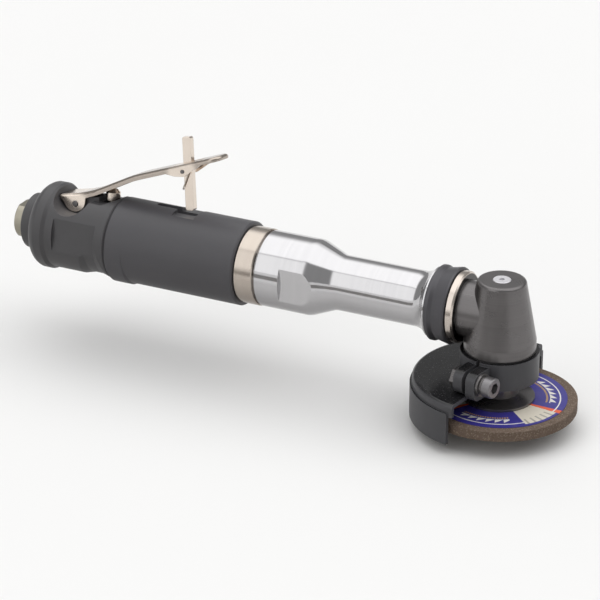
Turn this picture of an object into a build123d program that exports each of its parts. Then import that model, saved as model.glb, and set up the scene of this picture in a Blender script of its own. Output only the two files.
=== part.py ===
from build123d import *
import math
import os

os.makedirs("parts", exist_ok=True)

# Lengths along the tool axis, from the air inlet to the spindle
inlet_flange_length = 6.5
exhaust_cover_length = 6.8
throttle_body_length = 45.0
grip_length = 71.9
lock_ring_length = 10.0
wide_length = 27.0
taper_length = 13.0
tube_length = 42.2
flare_length = 8.5
coupling_nut_length = 11.2
head_ring_length = 3.8
neck_length = 18.1

# Outer radii along the tool axis
inlet_flange_r = 9.6
exhaust_cover_r = 14.1
shoulder_r = 22.1
body_r = 20.9
grip_r = 21.1
lock_ring_r = 19.3
wide_r = 19.0
tube_r = 13.7
flare_r = 17.3
coupling_rim_r = 18.5
coupling_waist_r = 17.6
coupling_flare_r = 18.9
head_ring_r = 17.6
neck_r = 13.8

# Angle head, heights from the tool axis
head_top_z = 18.3
head_top_r = 12.0
head_base_r = 17.4
head_base_z = -17.6
head_top_round = 1.8
guard_boss_r = 16.95
guard_boss_length = 13.8

# Wheel of 3 inch by three sixteenths with a three eighths bore
wheel_d = 76.2
wheel_thickness = 4.76
wheel_bore_d = 9.525
wheel_drop = 12.1
label_margin = 4.9
label_thickness = 0.3

# Guard, a half round of bent sheet with a skirt lapped outside its rim
guard_clearance = 2.8
guard_depth = 20.9
guard_sheet = 2.0
guard_lap = 1.0
guard_rim_depth = 4.6
guard_bend_r = 2.3
guard_start = 82.4
guard_rim_span = 178.4
guard_skirt_span = 175.2

# Handle, rolled about the tool axis against the head
handle_roll = 10.0
lever_width = 15.0
lever_sheet = 1.5
lever_wall = 3.0
lever_pin_r = 1.6
lever_pin_from_grip = 24.4
lever_pin_h = 14.7
lock_pin_from_grip = 34.6
lock_pin_h = 41.5
lock_pin_r = 0.95
lock_width = 4.5
lock_thickness = 3.3
lock_tilt = 7.7
lock_below_pin = 20.6
lock_above_pin = 16.4

# Bevel gear pair
gear_module = 1.25
pinion_teeth = 14
gear_teeth = 19
gear_face = 4.9
pressure_angle = 20.0
tooth_backlash = 0.14
tooth_dedendum = 1.2
flank_steps = 1
tooth_bury = 0.4
blank_margin = 0.05

# Clearances
slip = 0.03
running = 0.05
seam = 0.15
room = 0.3
edge_break = 0.4
beyond = 5.0

# Stations along the tool axis
body_x = inlet_flange_length + exhaust_cover_length
grip_x = body_x + throttle_body_length
ring_x = grip_x + grip_length
wide_x = ring_x + lock_ring_length
taper_x = wide_x + wide_length
tube_x = taper_x + taper_length
flare_x = tube_x + tube_length
nut_x = flare_x + flare_length
head_ring_x = nut_x + coupling_nut_length
neck_x = head_ring_x + head_ring_length
spindle_x = neck_x + neck_length

# Planes of the rolled handle and the axes of the tool
roll = math.radians(handle_roll)
handle_up = Vector(0, math.sin(roll), math.cos(roll))
handle_far = Vector(0, math.cos(roll), -math.sin(roll))
handle_side = Plane(origin=(0, 0, 0), x_dir=(1, 0, 0), z_dir=-handle_far)
handle_top = Plane(origin=(0, 0, 0), x_dir=(1, 0, 0), z_dir=handle_up)
spindle_axis = Axis((spindle_x, 0, 0), (0, 0, 1))


def turn_on_tool(*corners, mode=Mode.ADD):
    """Turn an outline of (station, radius) corners about the tool axis."""
    with BuildSketch(Plane.XZ) as outline:
        with BuildLine():
            Polyline(*corners, close=True)
        make_face()
    revolve(outline.sketch, axis=Axis.X, mode=mode)


def turn_on_spindle(*corners, mode=Mode.ADD):
    """Turn an outline of (radius, height) corners about the spindle axis."""
    with BuildSketch(Plane.XZ.move(Location((spindle_x, 0, 0)))) as outline:
        with BuildLine():
            Polyline(*corners, close=True)
        make_face()
    revolve(outline.sketch, axis=spindle_axis, mode=mode)


def turn_off_axis(lift, *corners, mode=Mode.ADD):
    """Turn an outline of (station, radius) corners about a line lifted from the tool axis."""
    with BuildSketch(handle_side) as outline:
        with BuildLine():
            Polyline(*[(station, lift + radius) for station, radius in corners], close=True)
        make_face()
    revolve(outline.sketch, axis=Axis(tuple(handle_up * lift), (1, 0, 0)), mode=mode)


def tool_ring(start, end, inner_r, outer_r, mode=Mode.ADD):
    """Add a plain ring round the tool axis."""
    turn_on_tool((start, inner_r), (start, outer_r), (end, outer_r), (end, inner_r), mode=mode)


def spindle_ring(low, high, inner_r, outer_r, mode=Mode.ADD):
    """Add a plain ring round the spindle axis."""
    turn_on_spindle((inner_r, low), (outer_r, low), (outer_r, high), (inner_r, high), mode=mode)


def hexagon_bar(start, end, across_flats, mode=Mode.ADD):
    """Add a hexagon bar along the tool axis."""
    with BuildSketch(Plane.YZ.offset(start)) as outline:
        RegularPolygon(across_flats / 2, 6, major_radius=False)
    extrude(outline.sketch, amount=end - start, mode=mode)


def save(piece, name):
    """Label a finished piece and write it out."""
    piece.part.label = name
    export_step(piece.part, "parts/" + name + ".step")


# Air inlet: bushing with two wrench flats, and its screen
inlet_thread_r = 5.56
inlet_thread_length = 12.0
inlet_outlet_r = 4.4
inlet_shank_r = 9.0
inlet_shank_reach = 3.2
inlet_shank_end = body_x + inlet_shank_reach
inlet_flats = 17.0
screen_r = 5.0
screen_thickness = 0.7
screen_hole = 1.5
screen_pitch = 2.1
screen_seat_x = inlet_thread_length + screen_thickness + seam

with BuildPart() as inlet_bushing:
    turn_on_tool(
        (0, inlet_thread_r),
        (0, inlet_flange_r - edge_break),
        (edge_break, inlet_flange_r),
        (inlet_flange_length, inlet_flange_r),
        (inlet_flange_length, inlet_shank_r),
        (inlet_shank_end, inlet_shank_r),
        (inlet_shank_end, inlet_outlet_r),
        (screen_seat_x, inlet_outlet_r),
        (screen_seat_x, screen_r + slip),
        (inlet_thread_length, screen_r + slip),
        (inlet_thread_length, inlet_thread_r),
    )
    with BuildSketch(Plane.YZ) as inlet_flat_cuts:
        with Locations((0, inlet_flats / 2 + beyond), (0, -inlet_flats / 2 - beyond)):
            Rectangle(2 * inlet_flange_r, 2 * beyond)
    extrude(amount=inlet_flange_length, mode=Mode.SUBTRACT)
save(inlet_bushing, "inlet_bushing")

with BuildPart() as inlet_screen:
    with BuildSketch(Plane.YZ.offset(inlet_thread_length + seam / 2)):
        Circle(screen_r)
        with GridLocations(screen_pitch, screen_pitch, 3, 3):
            Rectangle(screen_hole, screen_hole, mode=Mode.SUBTRACT)
    extrude(amount=screen_thickness)
save(inlet_screen, "inlet_screen")

# Exhaust: cover held under the bushing flange, felt ring in its pocket
cover_plate = 1.4
cover_wall = 1.3
cover_gap = 1.2
cover_slots = 10
cover_slot_length = 4.6
cover_slot_width = 1.8
hub_r = 10.1
felt_r = exhaust_cover_r - cover_wall
pocket_depth = 1.6
pocket_x = body_x + pocket_depth
cover_slot_r = (hub_r + felt_r) / 2

with BuildPart() as exhaust_cover:
    turn_on_tool(
        (inlet_flange_length, inlet_shank_r + slip),
        (inlet_flange_length, exhaust_cover_r - edge_break),
        (inlet_flange_length + edge_break, exhaust_cover_r),
        (body_x - cover_gap, exhaust_cover_r),
        (body_x - cover_gap, felt_r),
        (inlet_flange_length + cover_plate, felt_r),
        (inlet_flange_length + cover_plate, inlet_shank_r + slip),
    )
    with BuildSketch(Plane.YZ.offset(inlet_flange_length)):
        with PolarLocations(cover_slot_r, cover_slots):
            Rectangle(cover_slot_width, cover_slot_length)
    extrude(amount=cover_plate, mode=Mode.SUBTRACT)
save(exhaust_cover, "exhaust_cover")

with BuildPart() as muffler_felt:
    tool_ring(inlet_flange_length + cover_plate + seam, pocket_x - seam, hub_r + seam, felt_r - seam)
save(muffler_felt, "muffler_felt")

# Throttle body: domed rear, recess for the lever ears, lug for the lever pin
pin_x = grip_x - lever_pin_from_grip
lug_half = 5.6
lug_r = 3.5
lug_foot = 1.0
rib_reach = 12.4
rib_rise = 1.7
recess_r = 10.2
recess_rise = 5.7
dome_length = 4.9
dome_back = 1.2
dome_drop = 2.5
shoulder_length = 4.2
shoulder_ramp = 1.8
chamber_r = 7.5
passage_r = 5.5
chamber_from_rear = 3.7
chamber_length = 10.0
chamber_x = body_x + chamber_from_rear
seat_length = 3.0
seat_x = chamber_x + chamber_length
seat_end_x = seat_x + seat_length
spigot_r = 16.0
spigot_length = 9.7
spigot_bore_r = 11.5
spigot_x = grip_x + spigot_length
stem_from_pin = 17.3
stem_x = pin_x + stem_from_pin
stem_bore_r = 4.5
stem_flat_h = 17.5
stem_flat_back = 8.5
stem_flat_front = 0.7
stem_flat_start = stem_x - stem_flat_back
stem_flat_end = stem_x - stem_flat_front
panel_depth = 1.8
panel_half = 8.8
panel_from_rear = 15.2
panel_from_grip = 5.8
panel_start = body_x + panel_from_rear
panel_end = grip_x - panel_from_grip
relief_depth = 1.5
relief_length = 16.8
relief_ramp = 5.6
relief_end = grip_x - edge_break
relief_start = relief_end - relief_length
grip_chamfer = 0.8
exhaust_hole_r = 1.4
exhaust_hole_fan = 90.0
exhaust_holes = 3

with BuildPart() as throttle_body:
    with BuildSketch(Plane.XZ):
        with BuildLine():
            Polyline(
                (body_x, exhaust_cover_r),
                (body_x, felt_r),
                (pocket_x, felt_r),
                (pocket_x, hub_r),
                (inlet_flange_length + cover_plate, hub_r),
                (inlet_flange_length + cover_plate, inlet_shank_r + slip),
                (chamber_x, inlet_shank_r + slip),
                (chamber_x, chamber_r + slip),
                (seat_end_x, chamber_r + slip),
                (seat_end_x, passage_r),
                (grip_x, passage_r),
                (grip_x, spigot_bore_r),
                (spigot_x, spigot_bore_r),
                (spigot_x, spigot_r),
                (grip_x, spigot_r),
                (grip_x, body_r - grip_chamfer),
                (grip_x - grip_chamfer, body_r),
                (body_x + dome_length + shoulder_length + shoulder_ramp, body_r),
                (body_x + dome_length + shoulder_length, shoulder_r),
                (body_x + dome_length, shoulder_r),
            )
            ThreePointArc(
                (body_x + dome_length, shoulder_r),
                (body_x + dome_back, shoulder_r - dome_drop),
                (body_x, exhaust_cover_r),
            )
        make_face()
    revolve(axis=Axis.X)
    with BuildSketch(handle_side) as lever_recess:
        with Locations((pin_x, lever_pin_h + recess_rise)):
            Circle(recess_r)
    extrude(amount=body_r + beyond, both=True, mode=Mode.SUBTRACT)
    with BuildSketch(handle_side) as pin_lug:
        with BuildLine():
            CenterArc((pin_x, lever_pin_h), lug_r, 0, 360)
            Line(
                (pin_x - lug_r - lug_foot, chamber_r + lug_foot),
                (pin_x + lug_r + lug_foot, chamber_r + lug_foot),
            )
        make_hull()
    extrude(amount=lug_half, both=True)
    with BuildSketch(handle_side) as stem_flat:
        with BuildLine():
            Polyline(
                (stem_flat_start, stem_flat_h),
                (stem_flat_end, stem_flat_h),
                (grip_x - edge_break, body_r),
                (grip_x - edge_break, body_r + beyond),
                (stem_flat_start, body_r + beyond),
                close=True,
            )
        make_face()
    extrude(amount=body_r, both=True, mode=Mode.SUBTRACT)
    with BuildSketch(handle_side) as lug_rib:
        with BuildLine():
            Polyline(
                (pin_x, chamber_r + lug_foot),
                (pin_x, lever_pin_h + lug_r - room),
                (pin_x + rib_reach, lever_pin_h + lug_r + rib_rise),
                (pin_x + rib_reach, chamber_r + lug_foot),
                close=True,
            )
        make_face()
    extrude(amount=lug_half, both=True)
    with BuildSketch(handle_side) as pin_hole:
        with Locations((pin_x, lever_pin_h)):
            Circle(lever_pin_r + slip)
    extrude(amount=lug_half + edge_break, both=True, mode=Mode.SUBTRACT)
    with BuildSketch(handle_top) as stem_bore:
        with Locations((stem_x, 0)):
            Circle(stem_bore_r + slip)
    extrude(amount=body_r, mode=Mode.SUBTRACT)
    with BuildSketch(handle_top) as side_panels:
        with Locations(((panel_start + panel_end) / 2, body_r - panel_depth + beyond)):
            Rectangle(panel_end - panel_start, 2 * beyond)
        with Locations(((panel_start + panel_end) / 2, -body_r + panel_depth - beyond)):
            Rectangle(panel_end - panel_start, 2 * beyond)
    extrude(amount=panel_half, both=True, mode=Mode.SUBTRACT)
    turn_off_axis(
        relief_depth,
        (relief_start, body_r + relief_depth),
        (relief_start + relief_ramp, body_r),
        (relief_end - relief_ramp, body_r),
        (relief_end, body_r + relief_depth),
        (relief_end, body_r + beyond),
        (relief_start, body_r + beyond),
        mode=Mode.SUBTRACT,
    )
    with BuildSketch(Plane.YZ.offset(pocket_x)) as exhaust_ways:
        with PolarLocations(
            cover_slot_r, exhaust_holes, -90 - exhaust_hole_fan / 2, exhaust_hole_fan, endpoint=True
        ):
            Circle(exhaust_hole_r)
    extrude(amount=grip_x - pocket_x + edge_break, mode=Mode.SUBTRACT)
save(throttle_body, "throttle_body")

# Throttle valve: seat, tilting valve with its tail, spring
seat_hole_r = 4.2
valve_head_r = 6.2
valve_head_thickness = 2.3
valve_tail_r = 1.6
valve_head_x = seat_x - valve_head_thickness - running
valve_tail_past = 2.2
valve_tail_end = stem_x + valve_tail_past
valve_spring_r = 5.0
valve_spring_wire = 0.9

with BuildPart() as valve_seat:
    tool_ring(seat_x, seat_end_x, seat_hole_r, chamber_r)
save(valve_seat, "valve_seat")

with BuildPart() as tip_valve:
    turn_on_tool(
        (valve_head_x, 0),
        (valve_head_x, valve_head_r),
        (seat_x - running, valve_head_r),
        (seat_x - running, valve_tail_r),
        (valve_tail_end - edge_break, valve_tail_r),
        (valve_tail_end, valve_tail_r - edge_break),
        (valve_tail_end, 0),
    )
save(tip_valve, "tip_valve")

# Valve spring, closed up inside the body, as a plain sleeve of its wire's width
with BuildPart() as valve_spring:
    tool_ring(
        inlet_shank_end + running,
        valve_head_x - running,
        valve_spring_r - valve_spring_wire / 2,
        valve_spring_r + valve_spring_wire / 2,
    )
save(valve_spring, "valve_spring")

# Valve stem in its bushing, with a ring seal
stem_rod_r = 2.0
stem_head_r = 3.7
stem_dome_r = 4.5
stem_tip_r = 0.9
stem_crown_r = 2.3
stem_top_h = 24.6
stem_shoulder_h = 18.6
stem_gap = 0.4
bushing_lift = 0.7
bushing_low_h = passage_r + bushing_lift
bushing_high_h = 12.2
seal_height = 2.2


def below_dome(radius):
    """Height of the stem's domed head at a radius."""
    return stem_top_h - stem_dome_r + math.sqrt(stem_dome_r**2 - radius**2)


stem_axis = Axis((stem_x, 0, 0), tuple(handle_up))

with BuildPart() as stem_bushing:
    with BuildSketch(handle_top.offset(bushing_low_h)):
        with Locations((stem_x, 0)):
            Circle(stem_bore_r)
            Circle(stem_rod_r + running, mode=Mode.SUBTRACT)
    extrude(amount=bushing_high_h - bushing_low_h)
save(stem_bushing, "stem_bushing")

with BuildPart() as stem_seal:
    with BuildSketch(handle_top.offset(bushing_high_h + running)):
        with Locations((stem_x, 0)):
            Circle(stem_bore_r)
            Circle(stem_rod_r + running, mode=Mode.SUBTRACT)
    extrude(amount=seal_height)
save(stem_seal, "stem_seal")

with BuildPart() as valve_stem:
    with BuildSketch(handle_side):
        with BuildLine():
            Polyline(
                (stem_x, valve_tail_r + stem_gap),
                (stem_x + stem_rod_r, valve_tail_r + stem_gap),
                (stem_x + stem_rod_r, stem_shoulder_h),
                (stem_x + stem_head_r, stem_shoulder_h),
                (stem_x + stem_head_r, below_dome(stem_head_r)),
                (stem_x + stem_crown_r, below_dome(stem_crown_r)),
                (stem_x + stem_tip_r, below_dome(stem_tip_r)),
                (stem_x, below_dome(stem_tip_r)),
                close=True,
            )
        make_face()
    revolve(axis=stem_axis)
save(valve_stem, "valve_stem")

# Throttle lever: bent channel with ears at the lever pin and at the lock pin
ear_r = 6.1
ear_rise = 2.0
ear_back = 0.6
lock_ear_r = 2.6
lock_heel_r = 1.7
lock_heel_back = 4.4
lock_heel_drop = 1.5
lever_half = lever_width / 2
lever_inside = lever_half - lever_sheet
lock_x = grip_x + lock_pin_from_grip
lever_rear_back = 9.3
lever_rear_h = 18.2
lever_bend_ahead = 6.6
lever_bend_h = 21.5
lever_knee_ahead = 31.1
lever_knee_h = 34.7
lever_front_run = 47.2
lever_slope = math.radians(20.7)
lever_rear = (pin_x - lever_rear_back, lever_rear_h)
lever_bend = (pin_x + lever_bend_ahead, lever_bend_h)
lever_knee = (pin_x + lever_knee_ahead, lever_knee_h)
lever_front = (lever_knee[0] + lever_front_run, lever_knee_h + lever_front_run * math.tan(lever_slope))
lever_nose_wall = 2.4
lever_nose_round = 5.5
lever_edge_r = 1.4
lever_bend_r = 60.0
ear_reach = 15.0
ear_heel = 1.2
lock_ear_back = 12.5
lock_ear_front = 11.5
lock_slot_half = lock_thickness / 2 + room + running
lock_slot_back = 3.0
lock_slot_front = 7.8


def along_lever(x):
    """Height of the top of the lever's front run at a station."""
    return lever_knee[1] + (x - lever_knee[0]) * math.tan(lever_slope)


lever_line = FilletPolyline(lever_rear, lever_bend, lever_knee, lever_front, radius=lever_bend_r)


def on_lever_top(edge):
    """Whether an edge lies on the lever's top, apart from the one across its rear end."""
    spot = handle_side.to_local_coords(edge @ 0.5)
    height = Vector(spot.X, spot.Y, 0)
    return lever_line.distance_to(height) < slip and spot.X > lever_rear[0] + slip


def lever_strip(drop, depth, half):
    """Strip of the lever's bent line, dropped by a height, that deep and wide to both sides."""
    with BuildSketch(handle_side) as strip:
        with BuildLine():
            add(lever_line.moved(Location((0, -drop, 0))))
            offset(amount=depth, side=Side.RIGHT)
        make_face()
    extrude(strip.sketch, amount=half, both=True)


def lever_plan(half, nose_x, corner_r, mode):
    """The lever seen from above, square behind and round in front."""
    with BuildSketch(handle_top) as plan:
        with Locations(((lever_rear[0] + nose_x) / 2, 0)):
            RectangleRounded(nose_x - lever_rear[0], 2 * half, corner_r)
        with Locations((lever_rear[0], 0)):
            Rectangle(2 * lever_width, 2 * half)
    extrude(plan.sketch, amount=lever_front[1] + beyond, mode=mode)


with BuildPart() as lever_hollow:
    lever_strip(lever_sheet / math.cos(lever_slope), lever_wall, lever_half)
    lever_plan(lever_inside, lever_front[0] - lever_sheet, lever_nose_round - lever_sheet, Mode.INTERSECT)

with BuildPart() as throttle_lever:
    lever_strip(0, lever_nose_wall, lever_half)
    lever_plan(lever_half, lever_front[0], lever_nose_round, Mode.INTERSECT)
    fillet(throttle_lever.edges().filter_by(on_lever_top), lever_edge_r)
    add(lever_hollow.part, mode=Mode.SUBTRACT)
    for wall_plane in (handle_side.offset(-lever_half), handle_side.offset(lever_inside)):
        with BuildSketch(wall_plane) as lever_wall_strip:
            with BuildLine():
                FilletPolyline(
                    (lever_rear[0] + ear_heel, lever_rear_h - lever_sheet),
                    (lever_bend[0], lever_bend_h - lever_sheet),
                    (lever_knee[0], lever_knee_h - lever_sheet),
                    (lock_x, along_lever(lock_x) - lever_sheet),
                    radius=lever_bend_r,
                )
                offset(amount=lever_wall - lever_sheet, side=Side.RIGHT)
            make_face()
        extrude(amount=lever_sheet)
        with BuildSketch(wall_plane) as pivot_ear:
            with BuildLine():
                Line(
                    (lever_rear[0] + ear_heel, lever_rear_h - lever_sheet),
                    (lever_rear[0] + ear_reach, lever_bend_h - lever_sheet),
                )
                CenterArc((pin_x - ear_back, lever_pin_h + ear_rise), ear_r, 180, 180)
            make_hull()
        extrude(amount=lever_sheet)
        with BuildSketch(wall_plane) as lock_ear:
            with BuildLine():
                Line(
                    (lock_x - lock_ear_back, along_lever(lock_x - lock_ear_back) - lever_sheet),
                    (lock_x + lock_ear_front, along_lever(lock_x + lock_ear_front) - lever_sheet),
                )
                CenterArc((lock_x, lock_pin_h), lock_ear_r, 0, 360)
                CenterArc((lock_x - lock_heel_back, lock_pin_h - lock_heel_drop), lock_heel_r, 0, 360)
            make_hull()
        extrude(amount=lever_sheet)
    with BuildSketch(handle_top) as lock_slot:
        with Locations((lock_x + (lock_slot_front - lock_slot_back) / 2, 0)):
            Rectangle(lock_slot_front + lock_slot_back, 2 * lock_slot_half)
    extrude(amount=lever_front[1] + beyond, mode=Mode.SUBTRACT)
    with BuildSketch(handle_side) as lever_pin_holes:
        with Locations((pin_x, lever_pin_h)):
            Circle(lever_pin_r + running)
        with Locations((lock_x, lock_pin_h)):
            Circle(lock_pin_r + slip)
    extrude(amount=lever_half, both=True, mode=Mode.SUBTRACT)
save(throttle_lever, "throttle_lever")

with BuildPart() as lever_pin:
    with BuildSketch(handle_side):
        with Locations((pin_x, lever_pin_h)):
            Circle(lever_pin_r)
    extrude(amount=lever_half + edge_break, both=True)
    chamfer(lever_pin.edges().filter_by(GeomType.CIRCLE), edge_break / 2)
save(lever_pin, "lever_pin")

# Lock lever: straight bar that stands on its pin through a slot of the throttle lever
lock_corner = 1.1
lock_top_corner = 0.7
lock_lean = math.radians(lock_tilt)
lock_plane = Plane(
    origin=handle_side.from_local_coords((lock_x, lock_pin_h, 0)),
    x_dir=handle_side.x_dir * math.cos(lock_lean) + handle_up * math.sin(lock_lean),
    z_dir=handle_side.z_dir,
)

with BuildPart() as lock_lever:
    with BuildSketch(lock_plane) as lock_outline:
        with Locations((0, (lock_above_pin - lock_below_pin) / 2)):
            Rectangle(lock_width, lock_above_pin + lock_below_pin)
        fillet(lock_outline.vertices().sort_by(Axis.Y)[:2], lock_corner)
        chamfer(lock_outline.vertices().sort_by(Axis.Y)[-2:], lock_top_corner)
        Circle(lock_pin_r + running, mode=Mode.SUBTRACT)
    extrude(amount=lock_thickness / 2, both=True)
save(lock_lever, "lock_lever")

with BuildPart() as lock_pin:
    with BuildSketch(handle_side):
        with Locations((lock_x, lock_pin_h)):
            Circle(lock_pin_r)
    extrude(amount=lever_half + edge_break, both=True)
save(lock_pin, "lock_pin")

# Lock spring: coil round the lock pin, one leg behind the lock lever, one leg under the web
lock_wire = 0.6
lock_coil_r = 1.42
lock_coil_pitch = 1.05
lock_coil_full_turns = 2
lock_coil_start = lock_thickness / 2 + room + lock_wire / 2 + running
lock_leg = 9.4
lock_hook = 1.6
lock_hook_r = 0.8
web_leg = 7.0
leg_lean = math.radians(17.0)
web_leg_angle = math.pi / 2 + lever_slope
lock_coil_turns = lock_coil_full_turns + (web_leg_angle + leg_lean) / (2 * math.pi)
coil_plane = Plane(
    origin=handle_side.from_local_coords((lock_x, lock_pin_h, 0)),
    x_dir=handle_side.x_dir,
    z_dir=handle_side.z_dir,
)


def coil_point(angle, start, rise, radius):
    """Point of a coil round the local Z axis."""
    return Vector(radius * math.cos(angle), radius * math.sin(angle), start + rise * angle)


def coil_way(angle, rise, radius):
    """Direction of that coil at the same angle."""
    return Vector(-radius * math.sin(angle), radius * math.cos(angle), rise).normalized()


def bend_between(start, start_way, end, end_way):
    """Draw two arcs that leave and arrive along the given directions."""
    across = end - start
    both_ways = start_way + end_way
    turn = 2 * (1 - start_way.dot(end_way))
    lean = across.dot(both_ways)
    reach = (math.sqrt(lean * lean + turn * across.dot(across)) - lean) / turn
    first = start + start_way * reach
    second = end - end_way * reach
    middle = (first + second) * 0.5
    TangentArc(start, middle, tangent=start_way)
    TangentArc(middle, end, tangent=second - first)


def draw_coil(frame, start_angle, turns, start, pitch, radius):
    """Draw a coil round the Z axis of a plane in quarter turns."""
    rise = pitch / (2 * math.pi)
    steps = round(4 * turns)
    step = 2 * math.pi * turns / steps
    first = start_angle
    for _ in range(steps):
        here = coil_point(first, start - rise * start_angle, rise, radius)
        there = coil_point(first + step, start - rise * start_angle, rise, radius)
        here_way = coil_way(first, rise, radius)
        there_way = coil_way(first + step, rise, radius)
        bend_between(
            frame.from_local_coords(here),
            frame.from_local_coords(here_way) - frame.origin,
            frame.from_local_coords(there),
            frame.from_local_coords(there_way) - frame.origin,
        )
        first += step


def wire_gap(path, wire):
    """Least gap of a wound wire to itself, measured on points of its centre line."""
    spots = []
    travelled = 0
    parts = 6
    next_turn = 4 * wire
    for edge in path.edges():
        for part in range(parts):
            spots.append((travelled + edge.length * part / parts, edge @ (part / parts)))
        travelled += edge.length
    gaps = []
    for number, (far, spot) in enumerate(spots):
        for other_far, other in spots[number + 1:]:
            if other_far - far > next_turn:
                gaps.append((other - spot).length - wire)
    return min(gaps)


def coil_spot(point):
    """Point of the lock spring from its coil's centre."""
    return coil_plane.from_local_coords(point)


leg_top = coil_point(-leg_lean, lock_coil_start, 0, lock_coil_r)
leg_down = Vector(-math.sin(leg_lean), -math.cos(leg_lean), 0)
leg_foot = leg_top + leg_down * lock_leg
hook_turn = leg_foot + leg_down * lock_hook_r + Vector(0, 0, -lock_hook_r)
hook_end = hook_turn + Vector(0, 0, -lock_hook)
web_leg_z = lock_coil_start + lock_coil_pitch * lock_coil_turns
web_leg_top = coil_point(web_leg_angle, web_leg_z, 0, lock_coil_r)
web_leg_end = web_leg_top + Vector(-math.cos(lever_slope), -math.sin(lever_slope), 0) * web_leg

with BuildPart() as lock_spring:
    with BuildLine() as lock_spring_path:
        Line(coil_spot(hook_end), coil_spot(hook_turn))
        TangentArc(coil_spot(hook_turn), coil_spot(leg_foot), tangent=coil_plane.z_dir)
        Line(coil_spot(leg_foot), coil_spot(leg_top))
        draw_coil(coil_plane, -leg_lean, lock_coil_turns, lock_coil_start, lock_coil_pitch, lock_coil_r)
        Line(coil_spot(web_leg_top), coil_spot(web_leg_end))
    with BuildSketch(Plane(origin=lock_spring_path.line @ 0, z_dir=lock_spring_path.line % 0)):
        Circle(lock_wire / 2)
    sweep()
save(lock_spring, "lock_spring")
print("lock spring self gap", round(wire_gap(lock_spring_path, lock_wire), 2))

# Motor housing and the grip sleeve with the pocket for the lock lever's foot
housing_r = 17.5
housing_bore_r = 15.5
pocket_h = 19.0
pocket_back = 3.7
pocket_front = 8.7
slot_half = 2.4
slot_back = 16.0
slot_front = 6.5
lip_rise = 0.85
lip_length = 11.5
lip_ramp = 1.5
lip_inner_r = housing_r + lip_rise + room

with BuildPart() as motor_housing:
    turn_on_tool(
        (grip_x, spigot_r + slip),
        (grip_x, housing_r),
        (ring_x, housing_r),
        (ring_x, housing_bore_r),
        (spigot_x, housing_bore_r),
        (spigot_x, spigot_r + slip),
    )
save(motor_housing, "motor_housing")

with BuildPart() as grip_sleeve:
    turn_on_tool(
        (grip_x + seam, housing_r + slip),
        (grip_x + seam, grip_r - grip_chamfer),
        (grip_x + seam + grip_chamfer, grip_r),
        (ring_x - grip_chamfer, grip_r),
        (ring_x, grip_r - grip_chamfer),
        (ring_x, housing_r + slip),
    )
    turn_off_axis(
        -lip_rise,
        (grip_x + seam, lip_inner_r),
        (grip_x + seam, grip_r - grip_chamfer),
        (grip_x + seam + grip_chamfer, grip_r),
        (grip_x + lip_length - lip_ramp, grip_r),
        (grip_x + lip_length, grip_r - lip_rise),
        (grip_x + lip_length, lip_inner_r),
    )
    with BuildSketch(handle_side) as foot_pocket:
        with BuildLine():
            Polyline(
                (lock_x - pocket_back, pocket_h),
                (lock_x + pocket_front, pocket_h),
                (lock_x + pocket_front, grip_r + beyond),
                (lock_x - pocket_back, grip_r + beyond),
                close=True,
            )
        make_face()
    extrude(amount=grip_r, both=True, mode=Mode.SUBTRACT)
    with BuildSketch(handle_top.offset(housing_r - edge_break)) as foot_slot:
        with Locations((lock_x + (slot_front - slot_back) / 2, 0)):
            SlotOverall(slot_front + slot_back, 2 * slot_half)
    extrude(amount=grip_r, mode=Mode.SUBTRACT)
save(grip_sleeve, "grip_sleeve")

# Vane motor: end plates, cylinder, rotor, vanes, bearings, dowels, spacer
plate_r = housing_bore_r - 2 * slip
plate_length = 6.6
cylinder_length = 38.0
cylinder_bore_r = 12.0
rotor_offset = 1.1
rotor_r = 10.8
rotor_end_gap = 0.2
rotor_shaft_r = 4.0
rotor_bearing_r = 8.0
rotor_bearing_width = 5.0
rotor_hex = 7.0
vane_count = 5
vane_thickness = 1.5
vane_root_r = 5.4
vane_gap = 0.1
dowel_r = 1.2
dowel_length = 8.0
dowel_ring_r = 13.3
port_r = 1.8
port_count = 3
rear_plate_x = spigot_x + seam
cylinder_x = rear_plate_x + plate_length
front_plate_x = cylinder_x + cylinder_length
spacer_x = front_plate_x + plate_length
bearing_floor = 0.8
shaft_gap = 0.6
hex_lead = 1.0
extension_spigot_length = 6.2
rear_bearing_x = cylinder_x - bearing_floor - rotor_bearing_width
front_bearing_x = front_plate_x + bearing_floor
spacer_length = ring_x - extension_spigot_length - spacer_x
plate_bore_r = rotor_shaft_r + shaft_gap
rotor_hex_x = front_bearing_x + rotor_bearing_width + hex_lead
dowel_spot = Vector(0, 0, 0) + handle_up * dowel_ring_r
coupling_r = 7.8
coupling_room_r = 9.0

with BuildPart() as rear_end_plate:
    turn_on_tool(
        (rear_plate_x, rotor_bearing_r + slip),
        (rear_plate_x, plate_r),
        (cylinder_x, plate_r),
        (cylinder_x, plate_bore_r),
        (rear_bearing_x + rotor_bearing_width, plate_bore_r),
        (rear_bearing_x + rotor_bearing_width, rotor_bearing_r + slip),
    )
    with BuildSketch(Plane.YZ.offset(cylinder_x)):
        with Locations((dowel_spot.Y, dowel_spot.Z)):
            Circle(dowel_r + slip)
    extrude(amount=-dowel_length / 2 - seam, mode=Mode.SUBTRACT)
save(rear_end_plate, "rear_end_plate")

with BuildPart() as front_end_plate:
    turn_on_tool(
        (front_plate_x, plate_bore_r),
        (front_plate_x, plate_r),
        (spacer_x, plate_r),
        (spacer_x, rotor_bearing_r + slip),
        (front_bearing_x, rotor_bearing_r + slip),
        (front_bearing_x, plate_bore_r),
    )
    with BuildSketch(Plane.YZ.offset(front_plate_x)):
        with Locations((dowel_spot.Y, dowel_spot.Z)):
            Circle(dowel_r + slip)
    extrude(amount=dowel_length / 2 + seam, mode=Mode.SUBTRACT)
save(front_end_plate, "front_end_plate")

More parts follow.
